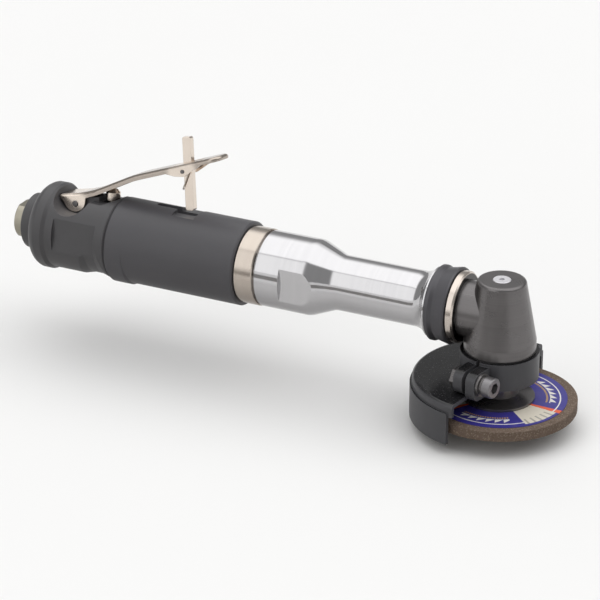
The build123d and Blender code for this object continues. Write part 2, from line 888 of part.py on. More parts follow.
with BuildPart() as rotor_bearings:
    tool_ring(rear_bearing_x, rear_bearing_x + rotor_bearing_width, rotor_shaft_r + slip, rotor_bearing_r)
    tool_ring(front_bearing_x, front_bearing_x + rotor_bearing_width, rotor_shaft_r + slip, rotor_bearing_r)
save(rotor_bearings, "rotor_bearings")

with BuildPart() as motor_cylinder:
    with BuildSketch(Plane.YZ.offset(cylinder_x)):
        Circle(plate_r)
        with Locations((-rotor_offset * handle_up.Y, -rotor_offset * handle_up.Z)):
            Circle(cylinder_bore_r, mode=Mode.SUBTRACT)
        with Locations((dowel_spot.Y, dowel_spot.Z)):
            Circle(dowel_r + slip, mode=Mode.SUBTRACT)
    extrude(amount=cylinder_length)
    with BuildSketch(handle_top) as exhaust_ports:
        with Locations((cylinder_x + cylinder_length / 2, 0)):
            with GridLocations(cylinder_length / port_count, 1, port_count, 1):
                Circle(port_r)
    extrude(amount=-housing_bore_r, mode=Mode.SUBTRACT)
save(motor_cylinder, "motor_cylinder")

with BuildPart() as cylinder_dowels:
    for dowel_x in (cylinder_x - dowel_length / 2, front_plate_x - dowel_length / 2):
        with BuildSketch(Plane.YZ.offset(dowel_x)):
            with Locations((dowel_spot.Y, dowel_spot.Z)):
                Circle(dowel_r)
        extrude(amount=dowel_length)
save(cylinder_dowels, "cylinder_dowels")

with BuildPart() as rotor:
    turn_on_tool(
        (rear_bearing_x, 0),
        (rear_bearing_x, rotor_shaft_r),
        (cylinder_x + rotor_end_gap, rotor_shaft_r),
        (cylinder_x + rotor_end_gap, rotor_r),
        (front_plate_x - rotor_end_gap, rotor_r),
        (front_plate_x - rotor_end_gap, rotor_shaft_r),
        (rotor_hex_x, rotor_shaft_r),
        (rotor_hex_x, 0),
    )
    hexagon_bar(rotor_hex_x, ring_x - hex_lead, rotor_hex)
    with BuildSketch(Plane.YZ.offset(cylinder_x)) as vane_slots:
        with PolarLocations((vane_root_r - vane_gap + rotor_r + edge_break) / 2, vane_count):
            Rectangle(rotor_r + edge_break - vane_root_r + vane_gap, vane_thickness + 2 * running)
    extrude(amount=cylinder_length, mode=Mode.SUBTRACT)
save(rotor, "rotor")

with BuildPart() as rotor_vanes:
    with BuildSketch(Plane.YZ.offset(cylinder_x + rotor_end_gap)):
        with PolarLocations((vane_root_r + rotor_r - vane_gap) / 2, vane_count):
            Rectangle(rotor_r - vane_gap - vane_root_r, vane_thickness)
    extrude(amount=cylinder_length - 2 * rotor_end_gap)
save(rotor_vanes, "rotor_vanes")

with BuildPart() as motor_spacer:
    tool_ring(spacer_x, spacer_x + spacer_length, coupling_room_r, plate_r)
save(motor_spacer, "motor_spacer")

# Lock ring and the extension housing with its shaft, bearings and retaining rings
extension_spigot_r = housing_bore_r - slip
extension_spigot_x = spacer_x + spacer_length
shaft_bearing_r = 11.0
shaft_bearing_width = 6.0
shaft_r = 5.0
shaft_room_r = 8.5
rear_seat_depth = 9.0
front_seat_depth = 9.2
shaft_room_start = wide_x + rear_seat_depth
shaft_room_end = flare_x - front_seat_depth
front_spigot_r = 14.55
front_spigot_length = 5.8
front_spigot_end = nut_x + front_spigot_length
taper_round = 9.0
flare_edge = 0.8
flat_across = 34.0
flat_from_ring = 14.2
flat_start = wide_x + flat_from_ring
ring_thickness = 1.2
retaining_ring_r = 9.4
coupling_overlap = 9.0
coupling_x = ring_x - coupling_overlap
coupling_length = 17.5
shaft_hex_x = ring_x + seam
shaft_round_x = coupling_x + coupling_length + room

joint_groove_depth = 1.3
joint_groove_width = 1.1
joint_groove_x = wide_x + joint_groove_width

with BuildPart() as lock_ring:
    turn_on_tool(
        (ring_x + seam, extension_spigot_r + slip),
        (ring_x + seam, lock_ring_r - edge_break),
        (ring_x + seam + edge_break, lock_ring_r),
        (wide_x - edge_break, lock_ring_r),
        (wide_x, lock_ring_r - edge_break),
        (wide_x, extension_spigot_r + slip),
    )
save(lock_ring, "lock_ring")

with BuildPart() as extension_housing:
    with BuildSketch(Plane.XZ) as extension_outline:
        with BuildLine():
            FilletPolyline(
                (joint_groove_x + edge_break, wide_r),
                (taper_x, wide_r),
                (tube_x, tube_r),
                (flare_x, tube_r),
                radius=taper_round,
            )
            TangentArc((flare_x, tube_r), (nut_x - flare_edge, flare_r), tangent=(1, 0))
            Line((nut_x - flare_edge, flare_r), (nut_x, flare_r))
            Polyline(
                (nut_x, flare_r),
                (nut_x, front_spigot_r),
                (front_spigot_end, front_spigot_r),
                (front_spigot_end, shaft_bearing_r + slip),
                (shaft_room_end, shaft_bearing_r + slip),
                (shaft_room_end, shaft_room_r),
                (shaft_room_start, shaft_room_r),
                (shaft_room_start, shaft_bearing_r + slip),
                (extension_spigot_x, shaft_bearing_r + slip),
                (extension_spigot_x, extension_spigot_r),
                (wide_x + seam, extension_spigot_r),
                (wide_x + seam, wide_r - joint_groove_depth),
                (joint_groove_x, wide_r - joint_groove_depth),
                (joint_groove_x, wide_r - edge_break),
                (joint_groove_x + edge_break, wide_r),
            )
        make_face()
    revolve(axis=Axis.X)
    with BuildSketch(Plane.XY) as wrench_flats:
        with Locations(((flat_start + tube_x) / 2, flat_across / 2 + beyond)):
            Rectangle(tube_x - flat_start, 2 * beyond)
        with Locations(((flat_start + tube_x) / 2, -flat_across / 2 - beyond)):
            Rectangle(tube_x - flat_start, 2 * beyond)
    extrude(amount=wide_r, both=True, mode=Mode.SUBTRACT)
save(extension_housing, "extension_housing")

rear_shaft_bearing_x = shaft_room_start - shaft_bearing_width
with BuildPart() as shaft_bearings:
    tool_ring(rear_shaft_bearing_x, shaft_room_start, shaft_r + slip, shaft_bearing_r)
    tool_ring(shaft_room_end, shaft_room_end + shaft_bearing_width, shaft_r + slip, shaft_bearing_r)
save(shaft_bearings, "shaft_bearings")

with BuildPart() as bearing_rings:
    rear_ring_end = rear_shaft_bearing_x - seam
    front_ring_start = shaft_room_end + shaft_bearing_width + seam
    tool_ring(rear_ring_end - ring_thickness, rear_ring_end, retaining_ring_r, shaft_bearing_r)
    tool_ring(front_ring_start, front_ring_start + ring_thickness, retaining_ring_r, shaft_bearing_r)
save(bearing_rings, "bearing_rings")

with BuildPart() as shaft_coupling:
    tool_ring(coupling_x, coupling_x + coupling_length, 0, coupling_r)
    hexagon_bar(coupling_x, coupling_x + coupling_length, rotor_hex + 2 * running, mode=Mode.SUBTRACT)
save(shaft_coupling, "shaft_coupling")

# Angle head joint: coupling nut, head ring, pinion bearings
pinion_bearing_r = 10.5
pinion_shaft_r = 6.0
pinion_bearing_width = 5.0
neck_flange = 2.6
retainer_thickness = 1.4
retainer_wall = 1.8
pinion_spacer_length = 1.0
pinion_spacer_wall = 1.6
pinion_ring_thickness = 1.0
pinion_ring_wall = 1.4
front_hex_reach = 5.0
pinion_tail_gap = 2.0
neck_rear_x = front_spigot_end + seam
neck_flange_x = neck_rear_x + neck_flange
pinion_ring_x = neck_rear_x + retainer_thickness
pinion_spacer_x = pinion_ring_x + pinion_bearing_width
pinion_front_x = pinion_spacer_x + pinion_spacer_length
pinion_seat_x = pinion_front_x + pinion_bearing_width
shaft_end_x = nut_x + front_hex_reach
shaft_front_hex_x = nut_x - front_hex_reach
pinion_rear_x = shaft_front_hex_x + pinion_tail_gap
pinion_socket_x = shaft_end_x + room
nut_rim_length = 2.4
nut_waist_from_rim = 4.2
nut_waist_x = nut_x + nut_waist_from_rim

with BuildPart() as extension_shaft:
    tool_ring(shaft_round_x, shaft_front_hex_x, 0, shaft_r)
    hexagon_bar(shaft_hex_x, shaft_round_x, rotor_hex)
    hexagon_bar(shaft_front_hex_x, shaft_end_x, rotor_hex)
save(extension_shaft, "extension_shaft")

with BuildPart() as coupling_nut:
    turn_on_tool(
        (nut_x + seam, front_spigot_r + slip),
        (nut_x + seam, coupling_rim_r - 2 * edge_break),
        (nut_x + seam + 2 * edge_break, coupling_rim_r),
        (nut_x + nut_rim_length, coupling_rim_r),
        (nut_waist_x, coupling_waist_r),
        (head_ring_x - seam - 2 * edge_break, coupling_flare_r),
        (head_ring_x - seam, coupling_flare_r - edge_break),
        (head_ring_x - seam, neck_r + seam),
        (neck_flange_x + seam, neck_r + seam),
        (neck_flange_x + seam, front_spigot_r + slip),
    )
save(coupling_nut, "coupling_nut")

with BuildPart() as head_ring:
    turn_on_tool(
        (head_ring_x, neck_r + slip),
        (head_ring_x, head_ring_r - edge_break),
        (head_ring_x + edge_break, head_ring_r),
        (neck_x - 2 * edge_break, head_ring_r),
        (neck_x, head_ring_r - 2 * edge_break),
        (neck_x, neck_r + slip),
    )
save(head_ring, "head_ring")

with BuildPart() as pinion_bearings:
    tool_ring(pinion_ring_x, pinion_spacer_x, pinion_shaft_r + slip, pinion_bearing_r)
    tool_ring(pinion_front_x, pinion_seat_x, pinion_shaft_r + slip, pinion_bearing_r)
save(pinion_bearings, "pinion_bearings")

with BuildPart() as pinion_spacer:
    tool_ring(pinion_spacer_x, pinion_front_x, pinion_bearing_r - pinion_spacer_wall, pinion_bearing_r)
save(pinion_spacer, "pinion_spacer")

with BuildPart() as pinion_retainer:
    tool_ring(neck_rear_x, pinion_ring_x, pinion_bearing_r - retainer_wall, pinion_bearing_r)
save(pinion_retainer, "pinion_retainer")

with BuildPart() as pinion_ring:
    tool_ring(
        pinion_ring_x - seam - pinion_ring_thickness,
        pinion_ring_x - seam,
        pinion_shaft_r + slip,
        pinion_shaft_r + pinion_ring_wall,
    )
save(pinion_ring, "pinion_ring")

# Bevel gears: teeth drawn on the back cone and drawn in towards the common apex
cone_length = gear_module / 2 * math.hypot(pinion_teeth, gear_teeth)
cone_inner = (cone_length - gear_face) / cone_length
blank_inner = cone_inner - blank_margin
blank_outer = 1 + blank_margin / 2
pinion_cone = math.atan2(pinion_teeth, gear_teeth)
gear_cone = math.atan2(gear_teeth, pinion_teeth)
tooth_pressure = math.radians(pressure_angle)
pinion_frame = Plane(origin=(spindle_x, 0, 0), x_dir=(0, 0, -1), z_dir=(-1, 0, 0))
gear_frame = Plane(origin=(spindle_x, 0, 0), x_dir=(-1, 0, 0), z_dir=(0, 0, -1))


def back_radius(teeth, cone):
    """Pitch radius on the back cone."""
    return gear_module * teeth / 2 / math.cos(cone)


def on_back_cone(radius, cone):
    """Radius and distance from the apex of a point on the back cone."""
    return radius * math.cos(cone), cone_length / math.cos(cone) - radius * math.sin(cone)


def half_tooth(radius, teeth, cone):
    """Half of the angle a tooth takes at a radius on the back cone."""
    pitch_r = back_radius(teeth, cone)
    base_r = pitch_r * math.cos(tooth_pressure)
    here = math.acos(min(1.0, base_r / max(radius, base_r)))
    thickness = math.pi * gear_module / 2 - tooth_backlash / 2
    opening = math.tan(tooth_pressure) - tooth_pressure
    return thickness / 2 / pitch_r + opening - (math.tan(here) - here)


def bevel_tooth(teeth, cone):
    """One tooth on local +X of a gear whose apex is the origin and whose axis is +Z."""
    pitch_r = back_radius(teeth, cone)
    foot_r = pitch_r - tooth_dedendum * gear_module - tooth_bury
    base_r = max(pitch_r * math.cos(tooth_pressure), foot_r + tooth_bury)
    tip_r = pitch_r + gear_module
    radii = [foot_r]
    for step in range(flank_steps + 1):
        radii.append(base_r + (tip_r - base_r) * step / flank_steps)
    flank = []
    for radius in radii:
        angle = half_tooth(radius, teeth, cone)
        flank.append((radius * math.sin(angle), radius * math.cos(angle) - pitch_r))
    outline = flank + [(-across, up) for across, up in reversed(flank)]
    with BuildPart(mode=Mode.PRIVATE) as tooth:
        for scale in (1.0, cone_inner):
            length = cone_length * scale
            centre = (length * math.sin(cone), 0, length * math.cos(cone))
            end_plane = Plane(origin=centre, x_dir=(0, 1, 0), z_dir=(-math.sin(cone), 0, -math.cos(cone)))
            with BuildSketch(end_plane):
                with BuildLine():
                    Polyline(*[(across * scale, up * scale) for across, up in outline], close=True)
                make_face()
        loft(ruled=True)
    return tooth.part


pinion_root = on_back_cone(back_radius(pinion_teeth, pinion_cone) - tooth_dedendum * gear_module, pinion_cone)
gear_root = on_back_cone(back_radius(gear_teeth, gear_cone) - tooth_dedendum * gear_module, gear_cone)
pinion_shoulder = 1.5
pinion_tooth = bevel_tooth(pinion_teeth, pinion_cone)
gear_tooth = bevel_tooth(gear_teeth, gear_cone)

with BuildPart() as bevel_pinion:
    turn_on_tool(
        (pinion_rear_x, 0),
        (pinion_rear_x, pinion_shaft_r),
        (pinion_seat_x, pinion_shaft_r),
        (pinion_seat_x, pinion_shaft_r + pinion_shoulder),
        (spindle_x - pinion_root[1] * blank_outer, pinion_root[0] * blank_outer),
        (spindle_x - pinion_root[1] * blank_inner, pinion_root[0] * blank_inner),
        (spindle_x - pinion_root[1] * blank_inner, 0),
    )
    hexagon_bar(pinion_rear_x, pinion_socket_x, rotor_hex + 2 * running, mode=Mode.SUBTRACT)
    with Locations(pinion_frame):
        with PolarLocations(0, pinion_teeth, 180 / pinion_teeth):
            add(pinion_tooth)
save(bevel_pinion, "bevel_pinion")

# Spindle with the gear, key and ring
gear_seat_r = 5.5
journal_r = 4.0
bearing_seat_r = 6.0
collar_r = 7.5
gear_back_z = -12.9
gear_hub_r = 8.0
gear_top_z = -gear_root[1] * blank_inner
gear_ring_r = 6.5
lower_bearing_z = -15.2
lower_bearing_width = 8.0
lower_bearing_r = 14.0
needle_low_z = 7.0
needle_high_z = 15.5
needle_r = 6.0
key_width = 2.5
key_length = 6.0
key_low_r = 4.2
key_high_r = 6.6
collar_top_z = lower_bearing_z - lower_bearing_width
guard_plate_z = head_base_z - guard_boss_length - 2 * running
wheel_top_z = guard_plate_z - wheel_drop
flange_hub_length = 8.2
flange_top_z = wheel_top_z + label_thickness + flange_hub_length
flange_hub_r = 9.5
flange_disc = 3.0
flange_rim = 1.2
flange_r = 17.5
pilot_r = wheel_bore_d / 2 - 2 * slip
wheel_bottom_z = wheel_top_z - wheel_thickness
outer_flange_thickness = 3.6
nut_thickness = 5.0
wheel_nut_across = 14.3
spindle_tail = 0.8
spindle_end_z = wheel_bottom_z - outer_flange_thickness - nut_thickness - spindle_tail
flange_seat_z = wheel_top_z + label_thickness + flange_disc
gear_ring_z = gear_top_z + seam
gear_ring_thickness = 1.0
gear_ring_shoulder = 1.2
journal_low_z = gear_ring_z + gear_ring_thickness + gear_ring_shoulder

with BuildPart() as spindle:
    turn_on_spindle(
        (0, needle_high_z),
        (journal_r, needle_high_z),
        (journal_r, journal_low_z),
        (gear_seat_r, journal_low_z),
        (gear_seat_r, lower_bearing_z),
        (bearing_seat_r, lower_bearing_z),
        (bearing_seat_r, collar_top_z),
        (collar_r, collar_top_z),
        (collar_r, flange_top_z),
        (bearing_seat_r, flange_top_z),
        (bearing_seat_r, flange_seat_z),
        (pilot_r, flange_seat_z),
        (pilot_r, spindle_end_z + edge_break),
        (pilot_r - edge_break, spindle_end_z),
        (0, spindle_end_z),
    )
    with BuildSketch(Plane.XY.offset(gear_top_z)) as key_seat:
        with Locations((spindle_x + (key_low_r + key_high_r) / 2, 0)):
            Rectangle(key_high_r - key_low_r, key_width + 2 * slip)
    extrude(amount=-key_length - seam, mode=Mode.SUBTRACT)
save(spindle, "spindle")

with BuildPart() as gear_key:
    with BuildSketch(Plane.XY.offset(gear_top_z - seam)):
        with Locations((spindle_x + (key_low_r + key_high_r) / 2, 0)):
            Rectangle(key_high_r - key_low_r - 2 * slip, key_width)
    extrude(amount=-key_length)
save(gear_key, "gear_key")

with BuildPart() as bevel_gear:
    turn_on_spindle(
        (gear_seat_r + slip, gear_top_z),
        (gear_root[0] * blank_inner, gear_top_z),
        (gear_root[0] * blank_outer, -gear_root[1] * blank_outer),
        (gear_root[0] * blank_outer, gear_back_z),
        (gear_hub_r, gear_back_z),
        (gear_hub_r, lower_bearing_z),
        (gear_seat_r + slip, lower_bearing_z),
    )
    with Locations(gear_frame):
        with PolarLocations(0, gear_teeth):
            add(gear_tooth)
    with BuildSketch(Plane.XY.offset(gear_top_z)) as keyway:
        with Locations((spindle_x + (key_low_r + key_high_r) / 2, 0)):
            Rectangle(key_high_r - key_low_r, key_width + 2 * slip)
    extrude(amount=lower_bearing_z - gear_top_z, mode=Mode.SUBTRACT)
save(bevel_gear, "bevel_gear")

with BuildPart() as gear_ring:
    spindle_ring(gear_ring_z, gear_ring_z + gear_ring_thickness, gear_seat_r + slip, gear_ring_r)
save(gear_ring, "gear_ring")

# Angle head: cone on a round neck, bored for the gears and bearings
boss_bottom_z = head_base_z - guard_boss_length
gear_room_r = 13.2
gear_room_top_z = -4.0
pinion_room_r = 10.8
pinion_room_top_z = 6.3
pinion_room_gap = 4.0
pinion_room_x = spindle_x - pinion_room_gap
head_base_band = 5.0
retainer_bore_r = lower_bearing_r + slip
plug_r = 4.5
plug_depth = 1.0
plug_stem_r = 2.5

with BuildPart() as angle_head:
    with BuildSketch(Plane.XZ.move(Location((spindle_x, 0, 0)))):
        with BuildLine():
            Polyline(
                (head_top_r - head_top_round, head_top_z),
                (0, head_top_z),
                (0, boss_bottom_z),
                (guard_boss_r, boss_bottom_z),
                (guard_boss_r, head_base_z),
                (head_base_r - edge_break, head_base_z),
                (head_base_r, head_base_z + edge_break),
                (head_base_r, head_base_z + edge_break + head_base_band),
                (head_top_r, head_top_z - head_top_round),
            )
            RadiusArc(
                (head_top_r, head_top_z - head_top_round),
                (head_top_r - head_top_round, head_top_z),
                -head_top_round,
            )
        make_face()
    revolve(axis=spindle_axis)
    tool_ring(neck_rear_x, spindle_x, 0, neck_r)
    tool_ring(neck_rear_x, neck_flange_x, 0, front_spigot_r)
    spindle_ring(boss_bottom_z, lower_bearing_z, 0, retainer_bore_r, mode=Mode.SUBTRACT)
    spindle_ring(lower_bearing_z, gear_room_top_z, 0, gear_room_r, mode=Mode.SUBTRACT)
    spindle_ring(gear_room_top_z, pinion_room_top_z, 0, pinion_room_r, mode=Mode.SUBTRACT)
    spindle_ring(pinion_room_top_z, needle_high_z + seam, 0, needle_r + slip, mode=Mode.SUBTRACT)
    spindle_ring(needle_high_z, head_top_z, 0, plug_stem_r + slip, mode=Mode.SUBTRACT)
    spindle_ring(head_top_z - plug_depth, head_top_z, 0, plug_r + slip, mode=Mode.SUBTRACT)
    tool_ring(neck_rear_x, pinion_room_x, 0, pinion_bearing_r + slip, mode=Mode.SUBTRACT)
save(angle_head, "angle_head")

with BuildPart() as head_plug:
    turn_on_spindle(
        (0, needle_high_z + 2 * seam),
        (plug_stem_r, needle_high_z + 2 * seam),
        (plug_stem_r, head_top_z - plug_depth),
        (plug_r, head_top_z - plug_depth),
        (plug_r, head_top_z - edge_break / 2),
        (plug_r - edge_break, head_top_z + edge_break / 2),
        (plug_stem_r / 2, head_top_z + edge_break / 2),
        (plug_stem_r / 2, head_top_z - plug_depth),
        (0, head_top_z - plug_depth),
    )
save(head_plug, "head_plug")

with BuildPart() as needle_bearing:
    spindle_ring(needle_low_z, needle_high_z, journal_r + slip, needle_r)
save(needle_bearing, "needle_bearing")

with BuildPart() as spindle_bearing:
    spindle_ring(collar_top_z, lower_bearing_z, bearing_seat_r + slip, lower_bearing_r)
save(spindle_bearing, "spindle_bearing")

seal_r = 9.8
seal_recess = 0.8
spindle_seal_height = 3.6
retainer_gap = 0.8
seal_low_z = boss_bottom_z + seal_recess
seal_high_z = seal_low_z + spindle_seal_height

with BuildPart() as bearing_retainer:
    turn_on_spindle(
        (collar_r + retainer_gap, collar_top_z),
        (lower_bearing_r, collar_top_z),
        (lower_bearing_r, boss_bottom_z + seam),
        (seal_r + slip, boss_bottom_z + seam),
        (seal_r + slip, seal_high_z),
        (collar_r + retainer_gap, seal_high_z),
    )
save(bearing_retainer, "bearing_retainer")

with BuildPart() as spindle_seal:
    spindle_ring(seal_low_z, seal_high_z, collar_r + running, seal_r)
save(spindle_seal, "spindle_seal")

# Wheel with its label, flanges and nut
label_r = wheel_d / 2 - label_margin
label_hole_gap = 0.5
flange_chamfer = 1.0

with BuildPart() as inner_flange:
    turn_on_spindle(
        (bearing_seat_r + slip, flange_top_z),
        (flange_hub_r, flange_top_z),
        (flange_hub_r, flange_seat_z),
        (flange_r, wheel_top_z + label_thickness + flange_rim),
        (flange_r, wheel_top_z + label_thickness),
        (pilot_r + slip, wheel_top_z + label_thickness),
        (pilot_r + slip, flange_seat_z),
        (bearing_seat_r + slip, flange_seat_z),
    )
save(inner_flange, "inner_flange")

with BuildPart() as wheel_label:
    spindle_ring(wheel_top_z, wheel_top_z + label_thickness, wheel_bore_d / 2 + label_hole_gap, label_r)
save(wheel_label, "wheel_label")

with BuildPart() as grinding_wheel:
    spindle_ring(wheel_bottom_z, wheel_top_z, wheel_bore_d / 2, wheel_d / 2)
save(grinding_wheel, "grinding_wheel")

with BuildPart() as outer_flange:
    turn_on_spindle(
        (pilot_r + slip, wheel_bottom_z),
        (flange_r, wheel_bottom_z),
        (flange_r, wheel_bottom_z - outer_flange_thickness + flange_chamfer),
        (flange_r - flange_chamfer, wheel_bottom_z - outer_flange_thickness),
        (pilot_r + slip, wheel_bottom_z - outer_flange_thickness),
    )
save(outer_flange, "outer_flange")

with BuildPart() as wheel_nut:
    with BuildSketch(Plane.XY.offset(wheel_bottom_z - outer_flange_thickness)):
        with Locations((spindle_x, 0)):
            RegularPolygon(wheel_nut_across / 2, 6, major_radius=False)
            Circle(pilot_r + slip, mode=Mode.SUBTRACT)
    extrude(amount=-nut_thickness)
save(wheel_nut, "wheel_nut")

# Guard: bent half round on a split collar that is clamped round the head's boss
guard_r = wheel_d / 2 + guard_clearance + guard_sheet
guard_rim_r = guard_r - guard_lap
guard_angle = math.radians(guard_start)
guard_edge = Plane(
    origin=(spindle_x, 0, 0),
    x_dir=(math.cos(guard_angle), math.sin(guard_angle), 0),
    z_dir=(math.sin(guard_angle), -math.cos(guard_angle), 0),
)
collar_wall = 2.05
collar_inner_r = guard_boss_r + running
collar_outer_r = collar_inner_r + collar_wall
collar_top = -head_ring_r - room
collar_slit = 2.0
collar_angle = -100.5
ear_thickness = 5.0
ear_root_r = collar_inner_r + edge_break
ear_outer_r = 31.0
ear_top_z = -19.4
ear_drop = 1.8
ear_corner = 4.5
screw_r = 3.0
screw_ring_r = 25.0
screw_z = (ear_top_z + guard_plate_z) / 2
screw_head_r = 5.0
screw_head = 5.0
screw_socket = 5.0
screw_socket_depth = 3.0
washer_r = 5.6
washer_thickness = 1.5
spring_washer_r = 4.6
spring_washer_thickness = 1.2
clamp_nut_across = 10.0
clamp_nut_thickness = 2.4
screw_tail = 0.8
clamp_frame = Plane.XY.move(Location((spindle_x, 0, 0), (0, 0, collar_angle)))
clamp_side = Plane(origin=(spindle_x, 0, 0), x_dir=clamp_frame.x_dir, z_dir=-clamp_frame.y_dir)
ear_face = collar_slit / 2 + ear_thickness
spring_face = ear_face + washer_thickness
head_face = spring_face + spring_washer_thickness

with BuildPart() as wheel_guard:
    with BuildSketch(guard_edge) as guard_plate:
        with BuildLine():
            FilletPolyline(
                (collar_inner_r, guard_plate_z),
                (guard_rim_r, guard_plate_z),
                (guard_rim_r, guard_plate_z - guard_rim_depth - guard_sheet),
                radius=guard_bend_r,
            )
            offset(amount=guard_sheet, side=Side.RIGHT)
        make_face()
    revolve(axis=spindle_axis, revolution_arc=guard_rim_span)
    with BuildSketch(guard_edge) as guard_skirt:
        with Locations((guard_r - guard_sheet / 2, guard_plate_z - (guard_rim_depth + guard_depth) / 2)):
            Rectangle(guard_sheet, guard_depth - guard_rim_depth)
    revolve(axis=spindle_axis, revolution_arc=guard_skirt_span)
save(wheel_guard, "wheel_guard")


def clamp_ear(face, low_z, thickness):
    """Add an ear of the collar from its face at the slit outwards."""
    with BuildSketch(clamp_side.offset(face)) as ear_outline:
        with Locations(((ear_root_r + ear_outer_r) / 2, (ear_top_z + low_z) / 2)):
            Rectangle(ear_outer_r - ear_root_r, ear_top_z - low_z)
        fillet(ear_outline.vertices().sort_by(Axis.X)[-2:], ear_corner)
    extrude(ear_outline.sketch, amount=thickness)


def clamp_disc(face, thickness, outer_r, hole_r):
    """Add a round washer on the clamp screw."""
    with BuildSketch(clamp_side.offset(face)) as disc_outline:
        with Locations((screw_ring_r, screw_z)):
            Circle(outer_r)
            Circle(hole_r, mode=Mode.SUBTRACT)
    extrude(disc_outline.sketch, amount=thickness)


with BuildPart() as guard_collar:
    spindle_ring(guard_plate_z, collar_top, collar_inner_r, collar_outer_r)
    with BuildSketch(clamp_side) as collar_split:
        with Locations((collar_outer_r, guard_plate_z)):
            Rectangle(2 * (ear_outer_r - collar_outer_r), 2 * guard_depth)
    extrude(amount=collar_slit / 2, both=True, mode=Mode.SUBTRACT)
    clamp_ear(collar_slit / 2, guard_plate_z, ear_thickness)
    clamp_ear(-collar_slit / 2, guard_plate_z - ear_drop, -ear_thickness)
    with BuildSketch(clamp_side) as screw_holes:
        with Locations((screw_ring_r, screw_z)):
            Circle(screw_r + room)
    extrude(amount=ear_face + edge_break, both=True, mode=Mode.SUBTRACT)
save(guard_collar, "guard_collar")

with BuildPart() as clamp_screw:
    with BuildSketch(clamp_side.offset(-head_face)):
        with Locations((screw_ring_r, screw_z)):
            Circle(screw_head_r)
    extrude(amount=-screw_head)
    chamfer(clamp_screw.edges().filter_by(GeomType.CIRCLE), edge_break)
    with BuildSketch(clamp_side.offset(-head_face)):
        with Locations((screw_ring_r, screw_z)):
            Circle(screw_r)
    extrude(amount=head_face + ear_face + clamp_nut_thickness + screw_tail)
    with BuildSketch(clamp_side.offset(-head_face - screw_head)):
        with Locations((screw_ring_r, screw_z)):
            RegularPolygon(screw_socket / 2, 6, major_radius=False)
    extrude(amount=screw_socket_depth, mode=Mode.SUBTRACT)
save(clamp_screw, "clamp_screw")

with BuildPart() as clamp_washers:
    clamp_disc(-spring_face, washer_thickness, washer_r, screw_r + seam)
    clamp_disc(-head_face, spring_washer_thickness - running, spring_washer_r, screw_r + seam)
save(clamp_washers, "clamp_washers")

with BuildPart() as clamp_nut:
    with BuildSketch(clamp_side.offset(ear_face)):
        with Locations((screw_ring_r, screw_z)):
            RegularPolygon(clamp_nut_across / 2, 6, major_radius=False)
            Circle(screw_r + slip, mode=Mode.SUBTRACT)
    extrude(amount=clamp_nut_thickness)
save(clamp_nut, "clamp_nut")
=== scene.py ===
"""Finishes, light and camera for an extended right angle grinder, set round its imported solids."""
import math

import bmesh
import bpy
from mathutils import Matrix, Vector


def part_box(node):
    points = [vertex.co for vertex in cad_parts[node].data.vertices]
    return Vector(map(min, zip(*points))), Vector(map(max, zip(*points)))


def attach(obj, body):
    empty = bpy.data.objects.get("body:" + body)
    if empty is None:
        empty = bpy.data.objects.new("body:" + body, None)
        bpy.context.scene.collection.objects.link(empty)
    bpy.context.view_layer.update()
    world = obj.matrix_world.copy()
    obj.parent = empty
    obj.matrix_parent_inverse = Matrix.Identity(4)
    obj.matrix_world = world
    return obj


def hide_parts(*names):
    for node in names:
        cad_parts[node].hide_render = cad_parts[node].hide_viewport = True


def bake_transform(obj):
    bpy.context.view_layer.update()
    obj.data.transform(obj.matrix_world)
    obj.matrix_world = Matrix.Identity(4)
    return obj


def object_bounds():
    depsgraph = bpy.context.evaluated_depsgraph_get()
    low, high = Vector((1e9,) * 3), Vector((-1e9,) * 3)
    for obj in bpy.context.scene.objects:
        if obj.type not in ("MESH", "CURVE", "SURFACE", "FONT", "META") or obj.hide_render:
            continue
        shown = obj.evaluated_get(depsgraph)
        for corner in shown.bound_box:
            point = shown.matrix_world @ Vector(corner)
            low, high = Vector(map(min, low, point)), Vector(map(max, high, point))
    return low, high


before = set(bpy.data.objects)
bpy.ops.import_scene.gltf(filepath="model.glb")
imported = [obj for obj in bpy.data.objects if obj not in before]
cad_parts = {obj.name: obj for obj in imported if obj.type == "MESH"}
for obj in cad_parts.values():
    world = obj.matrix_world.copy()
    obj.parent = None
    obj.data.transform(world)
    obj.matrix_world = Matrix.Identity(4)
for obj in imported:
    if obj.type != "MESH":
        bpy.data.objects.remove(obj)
cad_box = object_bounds()
MM = 0.001


# Places that the solids give
def middle(node):
    """Centre of a node's box."""
    low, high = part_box(node)
    return (low + high) / 2


ALONG_TOOL = Vector((1, 0, 0))
SPINDLE = middle("spindle")
LEVER_PIN = middle("lever_pin")
LOCK_PIN = middle("lock_pin")
LABEL_LOW, LABEL_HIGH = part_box("wheel_label")
LABEL_R = (LABEL_HIGH.x - LABEL_LOW.x) / 2
RING_LOW, RING_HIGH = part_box("head_ring")
HEAD_RING_R = (RING_HIGH.z - RING_LOW.z) / 2


# Shader building: a field is a socket with arithmetic, a finish is a node tree under construction
BEVEL_SAMPLES = 4
EDGE_BEGINS, EDGE_FULL = 0.02, 0.22


